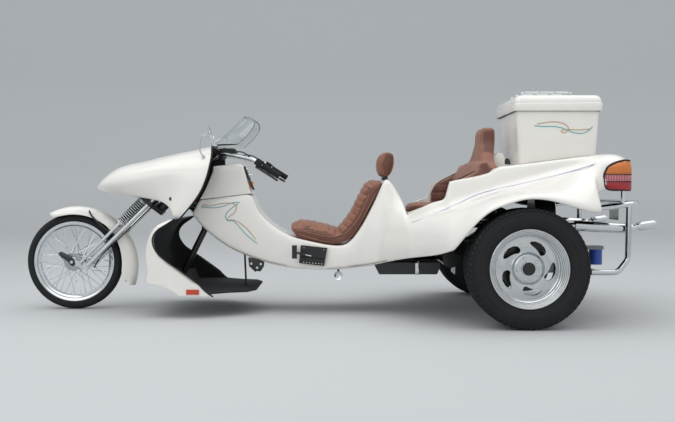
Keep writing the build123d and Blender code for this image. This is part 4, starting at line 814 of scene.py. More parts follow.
# Mirrors: small round glasses in chromed cups, each on a bent chromed stalk bolted to the cowl.
mirror_glass = surface("silvered_mirror_glass", {"Metallic": 1.0, "Roughness": 0.03}, ("#C9D2D6", "#C2CBD0"),
                       60, 4, 0.01, 0.02)
stalks = [(-712, 296, 912), (-730, 300, 932), (-733, 303, 985), (-727, 305, 1026), (-712, 310, 1036),
          (-690, 318, 1040), (-672, 324, 1050), (-668, 326, 1052)]
wire("mirror_stalks", [stalks], 4.5, chrome, "body", ("mirrors",), mirror=True)
bm = bmesh.new()
glass = bmesh.new()
for hand in (-1, 1):
    look = facing((-664, hand * 330, 1040), (25, 0, 10))
    lathe(bm, [(0, -7), (20, -6.5), (36, -3), (41, 2), (41.5, 5), (39, 5.5), (38, 3.2), (0, 3)], 40, look)
    lathe(glass, [(0, 3.6), (37.5, 3.6), (37.5, 3.1), (0, 3.1)], 40, look)
    foot = facing((-712, hand * 297, 912), (-0.2, hand * 0.6, 1))
    lathe(bm, [(6, -4), (10, -4), (10, 4), (6, 4)], 16, foot, closed=True)
finish_piece("mirror_cups", bm, chrome, "body", crease=35)
finish_piece("mirror_glasses", glass, mirror_glass, "body", crease=35)


# Neck stripes: fine lacquer lines along the neck's lower edge, and free curls of our own below the
# dash in tan and turquoise, laid down with a brush.
body_side = skin_of(body_skin)
neck_edge = [(-770, 548), (-757, 511), (-718, 470), (-674, 435), (-625, 400), (-579, 371), (-522, 345),
             (-476, 326), (-361, 288), (-246, 266), (-144, 256), (-16, 252), (68, 257), (150, 266),
             (265, 284), (340, 306)]
for rise, half, shade in ((11, 1.2, "umber"), (17, 0.8, "tan")):
    stripe("neck_stripe_" + shade, body_side, [(x, z + rise) for x, z in neck_edge], half, shade)
for number, (shade, run) in enumerate((
    ("tan", [(-742, 634), (-700, 622), (-640, 640), (-570, 646), (-534, 628), (-548, 585), (-590, 560),
             (-596, 540), (-560, 548), (-505, 520), (-455, 470), (-425, 430)]),
    ("turquoise", [(-748, 622), (-690, 612), (-620, 622), (-560, 650), (-520, 648)]),
    ("turquoise", [(-530, 640), (-590, 600), (-608, 560), (-590, 535), (-560, 545), (-520, 500), (-470, 445),
                   (-415, 405)]),
)):
    stripe(f"neck_curl_{number}", body_side, run, 2.6, shade)
crest_run = [(470, 541), (520, 560), (600, 597), (700, 640), (800, 690), (900, 722), (1043, 752),
             (1200, 790), (1340, 828), (1440, 862)]
stripe("crest_stripe", body_side, crest_run, 2.6, "lilac")


# The seats are foam on plywood under brown hide, sewn in pleats with piped edges. The hide is a full
# grain leather, pebbled a millimetre and a half across. It comes in a paler copy for faces that look
# up or ahead and a darker copy for faces that look sideways: painted light and painted shade.
def hide(name, shades):
    """A dyed hide: two shades in slow patches, a pebbled grain and faint folds."""
    made, tree, shader = start_material(name, {"Base Color": linear(shades[0]), "Roughness": 0.46,
        "Specular IOR Level": 0.45, "Sheen Weight": 0.12})
    coords = add_node(tree, "TexCoord", {})
    dye = add_node(tree, "TexNoise", {"Vector": coords.outputs["Object"], "Scale": 14.0, "Detail": 4.0})
    shade = add_node(tree, "Mix", {"data_type": "RGBA", 0: dye.outputs["Fac"], 6: linear(shades[0]),
        7: linear(shades[1])})
    tree.links.new(shade.outputs[2], shader.inputs["Base Color"])
    pebbles = add_node(tree, "TexVoronoi", {"Vector": coords.outputs["Object"], "Scale": 620.0})
    grain = add_node(tree, "Bump", {"Height": pebbles.outputs["Distance"], "Strength": 0.3,
        "Distance": 0.0006})
    folds = add_node(tree, "TexNoise", {"Vector": coords.outputs["Object"], "Scale": 38.0, "Detail": 5.0,
        "Distortion": 0.8})
    crease = add_node(tree, "Bump", {"Height": folds.outputs["Fac"], "Strength": 0.22, "Distance": 0.004,
        "Normal": grain.outputs["Normal"]})
    tree.links.new(crease.outputs["Normal"], shader.inputs["Normal"])
    return made


# One hide in two copies: paler for the lit faces, painted light, and darker for the side faces, painted
# shade.
hide_painted_lit = hide("brown_hide_painted_light", ("#94624B", "#80503C"))
hide_painted_shade = hide("brown_hide_painted_shade", ("#714737", "#5E382B"))
piping = surface("rolled_hide_piping", {"Roughness": 0.42}, ("#9A7261", "#825948"), 20, 1.2, 0.1, 0.3)
cloth_frames, smoothings = 20, 5


def puffed(name, bm, node, grooves, swell=9, voxel=8):
    """A pad: its blocks are joined, blown up by a short cloth run, then its sewn channels are pulled in."""
    mesh = bpy.data.meshes.new(name)
    bm.to_mesh(mesh)
    bm.free()
    form = bpy.data.objects.new(name, mesh)
    bpy.context.collection.objects.link(form)
    knit = form.modifiers.new("knit", "REMESH")
    knit.mode = "VOXEL"
    knit.voxel_size = voxel / 1000
    joined = bpy.data.meshes.new_from_object(form.evaluated_get(bpy.context.evaluated_depsgraph_get()))
    form.modifiers.clear()
    form.data = joined
    before = [v.co.copy() for v in joined.vertices]
    cloth = form.modifiers.new("cloth", "CLOTH")
    cloth.settings.use_pressure = True
    cloth.settings.uniform_pressure_force = 4
    cloth.settings.effector_weights.gravity = 0
    for frame_number in range(1, cloth_frames + 1):
        bpy.context.scene.frame_set(frame_number)
    blown = bpy.data.meshes.new_from_object(form.evaluated_get(bpy.context.evaluated_depsgraph_get()))
    form.modifiers.clear()
    bpy.context.scene.frame_set(1)
    for v, old, new in zip(joined.vertices, before, blown.vertices):
        way = new.co - old
        v.co = old + way * min(1, swell / 1000 / max(way.length, 1e-9))
    joined.update()
    bpy.data.objects.remove(form)
    bm = bmesh.new()
    bm.from_mesh(joined)
    for again in range(smoothings):
        bmesh.ops.smooth_vert(bm, verts=bm.verts, factor=0.5, use_axis_x=True, use_axis_y=True,
            use_axis_z=True)
    bm.normal_update()
    pulls = [(v, v.normal * (-grooves(v.co * 1000, v.normal) / 1000)) for v in bm.verts]
    for v, pull in pulls:
        v.co += pull
    # Faces that look sideways take the darker copy of the hide and the rest the paler one: painted shade and
    # painted light.
    for f in bm.faces:
        f.material_index = 0 if abs(f.normal.y) < 0.72 else 1
    made = finish_piece(name, bm, (hide_painted_lit, hide_painted_shade), "body", (node,), crease=0)
    fine = made.modifiers.new("fine", "SUBSURF")
    fine.levels = fine.render_levels = 1
    return made


def channel(distance, pitch, depth=6.0, width=5.5):
    """How deep a sewn channel pulls the hide in at that distance along a row of pleats."""
    off = (distance + pitch / 2) % pitch - pitch / 2
    return depth * exp(-(off / width) ** 2)


def along_run(x, z, run):
    """How far along a bent line the nearest place to a point is, in mm."""
    best, walked = (1e9, 0), 0
    for (x0, z0), (x1, z1) in zip(run, run[1:]):
        length = hypot(x1 - x0, z1 - z0)
        t = min(max(((x - x0) * (x1 - x0) + (z - z0) * (z1 - z0)) / length ** 2, 0), 1)
        best = min(best, (hypot(x - x0 - t * (x1 - x0), z - z0 - t * (z1 - z0)), walked + t * length))
        walked += length
    return best[1]


# Rider's seat: a deep bucket in one piece from the knees to the small of the back. Crosswise pleats
# run up its middle between two smooth bolsters, and piping edges its boxing.
seat_run = [(-232, 540), (-184, 543), (-100, 534), (-10, 513), (57, 492), (93, 534), (140, 600), (177, 678),
            (219, 756), (270, 798)]


def rider_grooves(p, n):
    inner = min(max((182 - abs(p.y)) / 10, 0), 1)
    up = min(max((n.z * 0.8 - n.x * 0.8 - 0.15) * 4, 0), 1)
    pleats = channel(along_run(p.x, p.z, seat_run), 42) * inner * up
    edge = 6 * exp(-((abs(p.y) - 184) / 5) ** 2) * up
    return max(pleats, edge)


bm = bmesh.new()
seat_under = [(-192, 452), (-96, 429), (-8, 409), (66, 403), (110, 414), (149, 455), (197, 525), (250, 626),
              (293, 716), (319, 781)]
seat_crown = (
    # x, z of the crown, and which way its cushion thins towards the sides
    (316, 792, 0, -0.3), (272, 790, 0.8, -0.5), (224, 752, 0.9, -0.45), (182, 674, 0.9, -0.45),
    (145, 596, 0.85, -0.5), (98, 529, 0.7, -0.7), (58, 484, 0.2, -1), (-11, 505, 0.1, -1),
    (-100, 526, 0.15, -1), (-184, 535, 0.1, -1), (-224, 532, 0.3, -0.9), (-232, 492, 0.6, 0))
for half, thin in ((104, 0), (142, 7), (166, 17), (182, 28), (196, 40)):
    crown = [(x + dx * thin, z + dz * thin) for x, z, dx, dz in seat_crown]
    slab(bm, seat_under + crown, -half, half, 14, upright, 3)
rider_seat = puffed("rider_bucket_seat", bm, "driver_seat", rider_grooves)
seat_side = skin_of(rider_seat)
for number, run in enumerate((
    [(-205, 500), (-150, 482), (-98, 466), (-40, 453), (21, 446), (74, 452), (122, 480), (169, 538),
     (195, 585), (216, 632), (250, 712), (276, 772)],
    [(-180, 464), (-98, 438), (-9, 418), (68, 412), (108, 422), (143, 458), (190, 530), (243, 630),
     (286, 718), (308, 772)],
)):
    wire(f"rider_seat_piping_{number}", laid(seat_side, run), 2.6, piping, "body", sides=1)


# Headrest: a tall pad on a black steel bracket, its front sewn to the boxing along one seam. Its front is
# painted paler as painted light and its sides darker as painted shade.
def rest_grooves(p, n):
    seam = 330 + (p.z - 880) * 0.12
    return 6 * exp(-((p.x - seam) / 4.5) ** 2) * min(max((abs(n.y) - 0.5) * 4, 0), 1)


bm = bmesh.new()
for half, thin in ((70, 0), (92, 12), (112, 30)):
    front = [(304 + thin, 802), (291 + thin, 850), (290 + thin, 890), (308 + thin, 930)]
    back = [(343, 947), (384, 940), (393, 917), (384, 858), (363, 798)]
    slab(bm, front + back, -half, half, 18, upright, 3)
puffed("rider_headrest", bm, "driver_headrest", rest_grooves)
bm = bmesh.new()
slab(bm, [(322, 779), (356, 782), (358, 806), (326, 806)], -70, 70, 3, upright)
finish_piece("headrest_bracket", bm, enamel, "body", crease=35)


# Passenger bench and centre pad: low cushions whose channels run lengthwise, sewn 58 mm apart.
def bench_grooves(p, n):
    return channel(p.y, 58, 5.5) * min(max((n.z - 0.3) * 3, 0), 1)


bm = bmesh.new()
slab(bm, [(610, 568), (608, 628), (630, 638), (798, 632), (828, 612), (828, 568)], -386, 386, 16, upright, 3)
slab(bm, [(468, 568), (468, 626), (490, 640), (640, 636), (640, 568)], -124, 124, 16, upright, 3)
puffed("passenger_bench", bm, "passenger_seat", bench_grooves)


# Passenger backrest: a wide low back that rises to a narrow headrest in the middle and wraps round
# in two side pads. The back has upright channels, and the side pads have lengthwise ones.
def back_grooves(p, n):
    face = channel(p.y, 56, 6) * min(max((-n.x - 0.3) * 3, 0), 1) * min(max((392 - abs(p.y)) / 12, 0), 1)
    inner = channel(p.z, 54, 5) * min(max((abs(n.y) - 0.5) * 4, 0), 1)
    return max(face, inner if p.x < 830 and abs(p.y) < 430 else 0)


bm = bmesh.new()
stand = Matrix(((0, 0, 1, 0), (1, 0, 0, 0), (0, 1, 0, 0), (0, 0, 0, 1)))
half_back = [(452, 566), (452, 842), (398, 870), (298, 890), (196, 938), (144, 1012), (134, 1082),
             (112, 1100)]
slab(bm, half_back + [(-y, z) for y, z in half_back[::-1]], 860, 936, 18, stand, 3)
for v in bm.verts:
    v.co.x += 0.05 * min(max((v.co.z - 0.80) / 0.17, 0), 1)
slab(bm, [(846, 566), (846, 698), (810, 788), (848, 884), (900, 884), (900, 566)], -448, 448, 18, upright, 3)
pad_inner, pad_outer = 404, 455
pad = [(660, 566), (660, 686), (678, 732), (700, 762), (744, 788), (836, 838), (866, 846), (866, 566)]
for hand in (-1, 1):
    slab(bm, pad, *sorted((hand * pad_inner, hand * pad_outer)), 14, upright, 3)
puffed("passenger_backrest_pad", bm, "passenger_backrest", back_grooves, voxel=9)
top_line = [(664, 690), (682, 736), (704, 764), (746, 790), (800, 816), (838, 836)]
inner_top = [[(x, hand * pad_inner, z - 2) for x, z in top_line] for hand in (-1, 1)]
wire("side_pad_piping", inner_top, 3, edging, "body", sides=1)


# Rear tyres: wide, low and square-shouldered black road tyres with a block tread. Their flanks have
# only moulded rings, no lettering.
tread_blocks = 64
rear_centre = (1043, 735, 315)
rear_places = [(name, facing((rear_centre[0], hand * rear_centre[1], rear_centre[2]), (0, hand, 0)))
               for hand, name in ((-1, "left"), (1, "right"))]
for side_name, wheel_place in rear_places:
    bm = bmesh.new()
    lathe(bm, [(190.7, 97), (208.6, 98), (211, 104), (214, 111), (218, 115.5), (222, 117), (224, 115.8),
               (226, 118), (236, 121.4), (248, 123.6), (256, 124.2), (257.5, 122.8), (259, 124),
               (270, 122.8), (279, 120.6), (281, 118.4), (283, 119.6), (290, 117), (297, 113), (303, 107.5),
               (306.5, 100), (308, 80), (308, -80), (306.5, -100), (303, -107.5), (297, -113), (290, -117),
               (283, -119.6), (270, -122.8), (248, -123.6), (236, -121.4), (222, -117), (214, -111),
               (208.6, -98), (190.7, -97), (190.7, -86), (216, -92), (250, -111), (290, -96), (296, 0),
               (290, 96), (250, 111), (216, 92), (190.7, 86)], 128, wheel_place, closed=True)
    # height, width, length and skew of the blocks in each row
    tread = ((-88, 30, 24, 0.25), (-50, 30, 26, -0.3), (-17, 24, 26, 0.3), (17, 24, 26, -0.3),
             (50, 30, 26, 0.3), (88, 30, 24, -0.25))
    for row, (height, wide, length, skew) in enumerate(tread):
        top = 0.3146 if abs(height) < 80 else 0.3130
        outline = [(-9, -length / 2), (0, -length / 2 + 1.2), (0, length / 2 - 1.2), (-9, length / 2)]
        for number in range(tread_blocks):
            around = wheel_place @ Matrix.Rotation(2 * pi * (number + row * 0.37) / tread_blocks, 4, "Z")
            place = around @ Matrix.Translation((top, 0, height / 1000)) @ Matrix.Rotation(skew, 4, "X")
            slab(bm, outline, -wide / 2, wide / 2, 0, place)
    for number in range(tread_blocks):
        for end in (-1, 1):
            around = wheel_place @ Matrix.Rotation(2 * pi * (number + 0.2) / tread_blocks, 4, "Z")
            shoulder = Matrix.Translation((0.3035, 0, end * 0.1085)) @ Matrix.Rotation(end * -0.7, 4, "Y")
            slab(bm, [(-7, -11), (3.4, -10), (3.4, 10), (-7, 11)], -9, 9, 0, around @ shoulder)
    finish_piece(f"rear_{side_name}_road_tyre", bm, road_rubber, f"rear_{side_name}",
                 (f"rear_{side_name}_tyre",), crease=32)

# Rear wheels: cast aluminium, turned and polished, with a stepped lip and five swept slots in the
# dished centre. Five plated nuts hold it, and a plain black cap in a bright ring closes the hub.
polished = surface("polished_cast_aluminium", {"Metallic": 1.0, "Roughness": 0.17}, ("#D6D8D9", "#C3C6C8"),
                   28, 1.4, 0.03, 0.12)
nut_circle = 0.057
slot_shape = [(141, 2), (146, -8), (145, -20), (138, -31), (127, -39), (111, -42), (98, -40), (93, -34),
              (103, -22), (113, -10), (122, -1), (132, 4)]


def soften(made, width):
    """Rounds a finished piece's sharp edges by so many metres."""
    bevel = made.modifiers.new("soften", "BEVEL")
    bevel.width = width
    bevel.segments = 2
    bevel.limit_method = "ANGLE"
    bevel.angle_limit = radians(50)


for side_name, wheel_place in rear_places:
    bm = bmesh.new()
    lathe(bm, [(207.8, 101), (208, 106), (205, 107.5), (199, 106), (197, 100), (191, 98.5), (189.5, 93),
               (184, 91), (182.5, 85), (177, 82.5), (175, 74), (170, 70), (168.5, 50),
               (163, 47), (150, 49), (126, 56), (110, 58), (98, 55), (88, 53), (80, 58), (76, 66), (68, 71),
               (30, 72), (24.4, 72), (24.4, 26), (72, 26), (84, 38), (110, 45), (150, 33),
               (160, 31), (163, 20), (163, -66), (172, -76), (194, -92), (198, -102), (204, -107),
               (208, -104), (204, -92), (182, -82), (172, -60), (172, 58), (178, 72), (190, 86), (200, 94)],
          120, wheel_place, closed=True)
    bmesh.ops.recalc_face_normals(bm, faces=bm.faces)
    cutter_bm = bmesh.new()
    for turn in range(5):
        around = [(r, radians(a + 72 * turn + 10)) for r, a in slot_shape]
        outline = [(r * cos(a), r * sin(a)) for r, a in around]
        slab(cutter_bm, outline, 15, 90, 0, wheel_place)
    bmesh.ops.recalc_face_normals(cutter_bm, faces=cutter_bm.faces)
    scratch = []
    for part_name, part_bm in (("blank", bm), ("cutter", cutter_bm)):
        mesh = bpy.data.meshes.new(part_name)
        part_bm.to_mesh(mesh)
        part_bm.free()
        scratch.append(bpy.data.objects.new(part_name, mesh))
        bpy.context.collection.objects.link(scratch[-1])
    cut = scratch[0].modifiers.new("slots", "BOOLEAN")
    cut.operation = "DIFFERENCE"
    cut.object = scratch[1]
    cut.solver = "EXACT"
    slotted = bpy.data.meshes.new_from_object(scratch[0].evaluated_get(bpy.context.evaluated_depsgraph_get()))
    for one in scratch:
        bpy.data.objects.remove(one)
    bm = bmesh.new()
    bm.from_mesh(slotted)
    wheel = finish_piece(f"rear_{side_name}_slotted_wheel", bm, polished, f"rear_{side_name}",
                         (f"rear_{side_name}_wheel",), crease=34)
    soften(wheel, 0.0012)
    bm = bmesh.new()
    for turn in range(5):
        angle = radians(72 * turn + 40)
        nut_place = wheel_place @ Matrix.Translation((nut_circle * cos(angle), nut_circle * sin(angle), 0))
        lathe(bm, [(0, 54), (11, 54), (11, 72), (8, 76), (0, 77)], 6, nut_place)
    lathe(bm, [(34, 71), (39, 71), (40, 74), (38, 78), (34, 78)], 48, wheel_place, closed=True)
    finish_piece(f"rear_{side_name}_nuts_and_ring", bm, chrome, f"rear_{side_name}", crease=35)
    bm = bmesh.new()
    lathe(bm, [(0, 77.5), (20, 77), (32, 75), (34, 72), (34, 66), (0, 66)], 48, wheel_place)
    finish_piece(f"rear_{side_name}_hub_cap", bm, plastic, f"rear_{side_name}", crease=35)


# Tail lamps: wrapped round the rear corners, each a black gasket with three ribbed acrylic lenses, an
# amber one above, a rose one with upright flutes in the middle and a deep red one below.
def lens(name, shades, clear, flute):
    """A ribbed acrylic lens, its flutes so many mm apart."""
    made, tree, shader = start_material(name, {
        "Base Color": linear(shades[0]), "Roughness": 0.12, "IOR": 1.49, "Transmission Weight": clear,
        "Coat Weight": 0.4, "Coat Roughness": 0.04})
    coords = add_node(tree, "TexCoord", {})
    flutes = add_node(tree, "TexWave", {"Vector": coords.outputs["Object"], "bands_direction": "X",
        "Scale": 1000 / flute / 3.14, "Distortion": 0.0})
    shade = add_node(tree, "Mix", {"data_type": "RGBA", 0: flutes.outputs["Fac"], 6: linear(shades[0]),
        7: linear(shades[1])})
    tree.links.new(shade.outputs[2], shader.inputs["Base Color"])
    relief = add_node(tree, "Bump", {"Height": flutes.outputs["Fac"], "Strength": 0.5, "Distance": 0.002})
    tree.links.new(relief.outputs["Normal"], shader.inputs["Normal"])
    return made


amber = lens("ribbed_amber_acrylic", ("#E2862E", "#C9651B"), 0.15, 6)
rose = lens("fluted_rose_acrylic", ("#DB8E96", "#A8505C"), 0.2, 14)
red = lens("ribbed_red_acrylic", ("#C2202A", "#8E1019"), 0.15, 6)
lamp_starts = {722: 1505, 732: 1488, 745: 1481, 762: 1477, 780: 1475, 803: 1475, 806: 1476, 822: 1483,
               840: 1492, 855: 1511, 867: 1538, 877: 1578}
for name, paint, node, slot, levels in (
    ("amber_lens", amber, "tail_lamp_amber", "amber_lens", (806, 822, 840, 855, 867, 877)),
    ("fluted_lens", rose, None, "red_lens", (768, 780, 803)),
    ("red_lens", red, "tail_lamp_red", "red_lens", (722, 732, 745, 765)),
):
    bm = bmesh.new()
    lens_rows = []
    for z in levels:
        start = lamp_starts.get(z, 1477)
        tuck = max(z - 835, 0) * 0.55
        turn_in = (start + 1560) / 2 if start < 1540 else start + 8
        lens_rows.append([(x, y - tuck, z) for x, y in (
            (start, 653), (turn_in, 657), (max(1560, start + 14), 659), (1600, 654.5), (1620, 643),
            (1631, 624), (1636.5, 600), (1637.5, 566), (1637.5, 524))])
    rows(bm, lens_rows)
    piece = finish_piece("tail_" + name, bm, paint, "body", (node,) if node else (), crease=40,
                         mirror=True)
    thicken(piece, 0.012, levels=0)
    soften(piece, 0.0015)
ring = [(1637, 524, 722), (1637, 566, 722), (1620, 642, 721), (1560, 658, 721), (1505, 655, 721),
        (1486, 653, 731), (1477, 652, 750), (1474, 652, 780), (1474, 652, 804), (1482, 652, 822),
        (1491, 650, 842), (1512, 643, 857), (1538, 637, 869), (1578, 633, 880), (1600, 629, 881),
        (1622, 616, 879), (1636, 574, 879), (1637, 524, 879)]
wire("lamp_gaskets", [ring], 5, edging, "body", mirror=True)
lens_line = ((1478, 654), (1560, 659.5), (1602, 655), (1622, 643), (1637.5, 600), (1638, 524))
bm = bmesh.new()
for hand in (-1, 1):
    for z in (766.5, 804.5):
        for a, b in zip(lens_line, lens_line[1:]):
            run = Vector((b[0] - a[0], hand * (b[1] - a[1]), 0))
            start = Matrix.Translation((a[0] / 1000, hand * a[1] / 1000, z / 1000))
            along = start @ run.to_track_quat("X", "Z").to_matrix().to_4x4()
            along = along @ Matrix.Rotation(-hand * pi / 2, 4, "X")
            slab(bm, [(-1, -1.6), (run.length + 1, -1.6), (run.length + 1, 1.6), (-1, 1.6)], -6, 1.2, 0,
                 along)
finish_piece("lens_dividers", bm, plastic, "body", crease=35)


# Trunk: a white moulded box standing on the sloping deck, with a lid whose rim is stepped like a
# picture frame. A chromed luggage rail stands on the lid, and the box bears two free curls.
def rounded_ring(x0, x1, half, low, high, corner):
    """A box's outline seen from above, its corners rounded, its height running from low to high."""
    ring = []
    for cx, cy, start in ((x1 - corner, half - corner, 0), (x0 + corner, half - corner, 90),
        (x0 + corner, corner - half, 180), (x1 - corner, corner - half, 270)):
        for step in range(5):
            a = radians(start + step * 22.5)
            x = cx + corner * cos(a)
            ring.append((x, cy + corner * sin(a), low + (high - low) * (x - x0) / (x1 - x0)))
    return ring


def tray(bm, *table):
    """Sweeps one rounded outline through the next."""
    rows(bm, [rounded_ring(*ring) for ring in table], closed=True)


bm = bmesh.new()
tray(bm, (1097, 1540, 291, 868, 924, 26), (1096, 1541, 292.5, 874, 929, 26),
     (1087, 1548, 299, 1020, 1050, 27), (1079, 1554, 305, 1160, 1160, 28),
     (1078, 1555, 305.5, 1178, 1178, 28))
box = finish_piece("trunk_box_moulding", bm, (gelcoat, underseal), "body", ("trunk_box",),
                   crease=40)
thicken(box, 0.006, levels=0, back=1)
bm = bmesh.new()
tray(bm, (1100, 1537, 288, 880, 935, 24), (1240, 1400, 80, 898, 918, 20))
finish_piece("trunk_floor", bm, underseal, "body", crease=40)
bm = bmesh.new()
tray(bm, (1066, 1568, 317, 1172, 1172, 30), (1065, 1569, 318.5, 1175, 1175, 30),
     (1063, 1573, 319.5, 1204, 1208, 31), (1064, 1573, 319, 1212, 1216, 31),
     (1069, 1568, 314, 1216, 1220, 30), (1068, 1568, 314.5, 1226, 1229, 30),
     (1072, 1564, 310, 1240, 1243, 30), (1080, 1556, 302, 1254, 1256, 28), (1092, 1547, 293, 1261, 1262, 26),
     (1104, 1538, 284, 1263, 1263.4, 24), (1116, 1526, 272, 1263, 1263.4, 22),
     (1120, 1522, 268, 1259, 1259.6, 22), (1220, 1420, 140, 1260, 1260.4, 20),
     (1300, 1340, 20, 1260.4, 1260.4, 8))
bm.faces.new(bm.verts[-20:])
lid = finish_piece("trunk_lid_moulding", bm, (gelcoat, underseal), "lid", ("trunk_lid",),
                   crease=38)
thicken(lid, 0.006, levels=0, back=1)
rail_run = [(1140, 1262), (1134, 1280), (1136, 1289), (1150, 1292), (1280, 1292), (1414, 1292), (1428, 1289),
            (1430, 1280), (1424, 1262)]
rails = [[(x, y, z) for x, z in rail_run] for y in (-150, 0, 150)]
rails += [[(x, -158, 1291), (x, -80, 1292), (x, 80, 1292), (x, 158, 1291)] for x in (1150, 1240, 1330, 1414)]
wire("luggage_rail", rails, 5.6, chrome, "lid", ("lid_rack",))
bm = bmesh.new()
for y in (-150, 0, 150):
    for x in (1140, 1424):
        lathe(bm, [(6, 1260.5), (13, 1260.5), (14, 1262), (13, 1264.5), (6, 1265)], 20,
              Matrix.Translation((x / 1000, y / 1000, 0)), closed=True)
finish_piece("rail_feet", bm, chrome, "lid", crease=35)
box_side = skin_of(box)
for number, (shade, run) in enumerate((
    ("tan", [(1196, 1098), (1240, 1106), (1300, 1112), (1352, 1100), (1378, 1078), (1366, 1052),
             (1340, 1046), (1330, 1062), (1370, 1068), (1440, 1062), (1500, 1070)]),
    ("turquoise", [(1180, 1088), (1230, 1082), (1290, 1086), (1345, 1074), (1400, 1048), (1452, 1042),
                   (1492, 1058), (1512, 1082)]),
)):
    stripe(f"box_curl_{number}", box_side, run, 3.0, shade)
bm = bmesh.new()
plates = bmesh.new()
for hand in (-1, 1):
    y = hand * 160
    slab(plates, [(y - 15, 1126), (y + 15, 1126), (y + 15, 1160), (y - 15, 1160)], 1551, 1556, 0.8, stand)
    slab(bm, [(y - 9, 1130), (y + 9, 1130), (y + 9, 1170), (y - 9, 1170)], 1555, 1561, 1.5, stand)
    # A black plate on each flank of the deck at the trunk's front foot stands for a catch there and the
    # shadow round it: partly a catch plate, partly painted shadow.
    slab(plates, [(1012, 866), (1046, 868), (1044, 882), (1036, 900), (1022, 904), (1012, 894)],
         *sorted((hand * 296, hand * 302)), 2, upright)
finish_piece("draw_catches", bm, chrome, "body", crease=35)
finish_piece("catch_plates_and_painted_shadow", plates, enamel, "body", crease=35)


# Deck riser: the white moulding behind the passenger's back, between the seat and the trunk.
bm = bmesh.new()
slab(bm, [(946, 846), (950, 880), (966, 912), (1002, 938), (1028, 938), (1059, 866), (1059, 858)], -148, 148,
     8, upright, 3)
finish_piece("deck_riser", bm, gelcoat, "body", crease=30)

# Foot wells and shift gate: ribbed black rubber mats lie in the wells. The gate is a black plate with
# a slot, a row of white index dots and three screws, and a bright rod joins its lever to the knob.
bm = bmesh.new()
for hand in (-1, 1):
    mat = [(472, 150), (472, 322), (522, 408), (586, 444), (586, 150)]
    slab(bm, [(x, hand * y) for x, y in mat][::hand], 400.6, 404, 1)
    for rib in range(9):
        x = 480 + rib * 11
        slab(bm, [(x, -78), (x + 5, -78), (x + 5, 78), (x, 78)], 404, 405.6, 0,
             Matrix.Translation((0, hand * 0.234, 0)))
finish_piece("well_mats", bm, rubber, "body", crease=35)
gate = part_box("shift_gate")
face = gate[0].y * 1000
dots = bmesh.new()
for number in range(7):
    peg(dots, 2.6, 0, 1.1, 12, facing((-140 + number * 17.5, face, 302 - number * 1.6), (0, -1, 0)))
for x, z in ((-138, 386), (-24, 374), (-144, 352)):
    peg(dots, 2.0, 0, 1.4, 12, facing((x, face, z), (0, -1, 0)))
finish_piece("gate_dots", dots, dial_white, "body", crease=35)
wire("gate_rod", [[(-178, face - 14, 357), (-150, face - 8, 351), (-96, face - 6, 338)]], 3.2, chrome,
     "body")
bm = bmesh.new()
slab(bm, [(-150, 330), (-20, 318), (-19, 324), (-149, 337)], face - 1.4, face + 0.4, 0.4, upright)
finish_piece("gate_slot", bm, rubber, "body", crease=35)


# Below the sill: the brake pedal's linkage hangs in a black steel bracket with bright pins, a small
# chromed horn hangs under the rider, and a bright strap holds the tray.
bm = bmesh.new()
pins = bmesh.new()
horn = bmesh.new()
for y in (-156, -128):
    slab(bm, [(-471, 322), (-376, 306), (-380, 268), (-398, 240), (-436, 243), (-466, 272)], y, y + 4, 0.8,
         upright)
for x, z in ((-452, 286), (-418, 262), (-396, 284)):
    lathe(pins, [(0, -1), (7, -1), (8, 1), (8, 5), (5, 6), (5, 34), (0, 34)], 16,
          facing((x, -160, z), (0, 1, 0)))
slab(bm, [(-446, 300), (-438, 300), (-424, 238), (-432, 236)], -146, -138, 1, upright)
slab(bm, [(54, 268), (68, 268), (66, 232), (56, 232)], -203, -198, 1, upright)
lathe(horn, [(0, 4), (12, 5), (22, 12), (24.5, 14), (25, 11), (22, 0), (19, -9), (8, -12), (0, -12)], 32,
      facing((61, -205, 222), (0, -1, 0)))
strap = [(512, 226), (534, 226), (534, 302), (512, 302)]
slab(pins, strap, -192.5, -190.2, 0.5, upright)
slab(pins, strap, 190.2, 192.5, 0.5, upright)
slab(pins, [(512, -192), (534, -192), (534, 192), (512, 192)], 223.4, 225.7, 0.5)
finish_piece("linkage_bracket", bm, enamel, "body", crease=35)
finish_piece("linkage_pins_and_strap", pins, chrome, "body", crease=35)
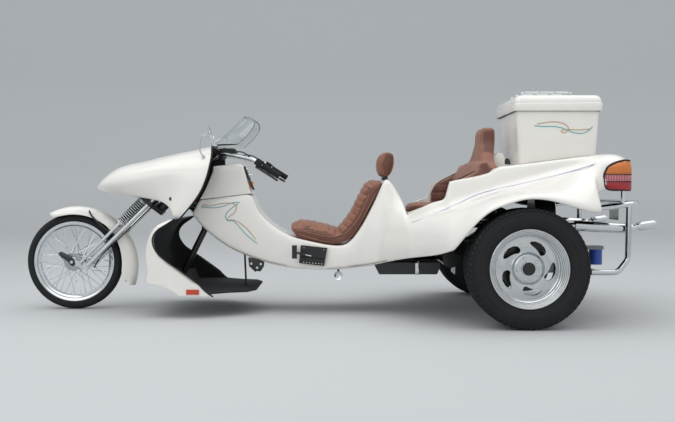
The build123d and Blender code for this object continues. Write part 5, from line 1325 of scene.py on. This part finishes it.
finish_piece("small_horn", horn, chrome, "body", crease=35)


# Tail-pipe tips: a wider chromed sleeve is slipped over the end of each pipe and rolled in at its rim.
bm = bmesh.new()
for hand in (-1, 1):
    lathe(bm, [(17.3, -104), (20, -103), (25, -94), (25.4, -12), (24.6, -7), (22.5, -5), (20.5, -7),
               (17.3, -9)], 40,
          facing((1824, hand * 450, 532), (0.9899, 0, 0.1414)), closed=True)
finish_piece("tail_pipe_tips", bm, chrome, "body", crease=40)


# Everything below the mouldings keeps the shape of its CAD node and gets the finish of the real
# part: plated pipes, cast cases, enamelled steel, a painted filter and a textured black floor.
cast = surface("sand_cast_aluminium", {"Metallic": 1.0, "Roughness": 0.48}, ("#9B9D9E", "#6F7173"), 22, 1.1,
               0.35, 0.5)
filter_blue = surface("gloss_blue_can_enamel", {"Roughness": 0.3, "Coat Weight": 0.3},
                      ("#2C55B5", "#223F93"), 25, 1.0, 0.03, 0.1)
mat_black = surface("textured_black_floor_mat", {"Roughness": 0.8, "Specular IOR Level": 0.3},
                    ("#2A2B2D", "#1E1F21"), 60, 2.6, 0.5, 0.6)
marker_red = lens("moulded_orange_marker_lens", ("#DE4A22", "#B93412"), 0.1, 5)
node_paints = {"white_gelcoat": gelcoat, "tyre_rubber": road_rubber, "chrome": chrome,
               "polished_alloy": polished, "black_steel": enamel, "black_plastic": plastic,
               "black_rubber": rubber, "clear_screen": acrylic, "brown_leather": hide_painted_lit,
               "cast_alloy": cast, "amber_lens": amber, "red_lens": red, "blue_filter": filter_blue,
               "grey_floor": mat_black}
# The transaxle and its drums are black enamel, as such axles often are. The black also stands in for the
# shade seen through the wheels' slots: partly painted shade.
own_paints = {"side_markers": marker_red, "tub_pan": gelcoat, "transaxle": enamel}
for part in frame["record"]["subparts"]:
    node = frame["nodes"][part["node"]]
    paint = own_paints.get(part["node"], node_paints[part["material_slot"]])
    if node.data.materials:
        for place in range(len(node.data.materials)):
            node.data.materials[place] = paint
    else:
        node.data.materials.append(paint)
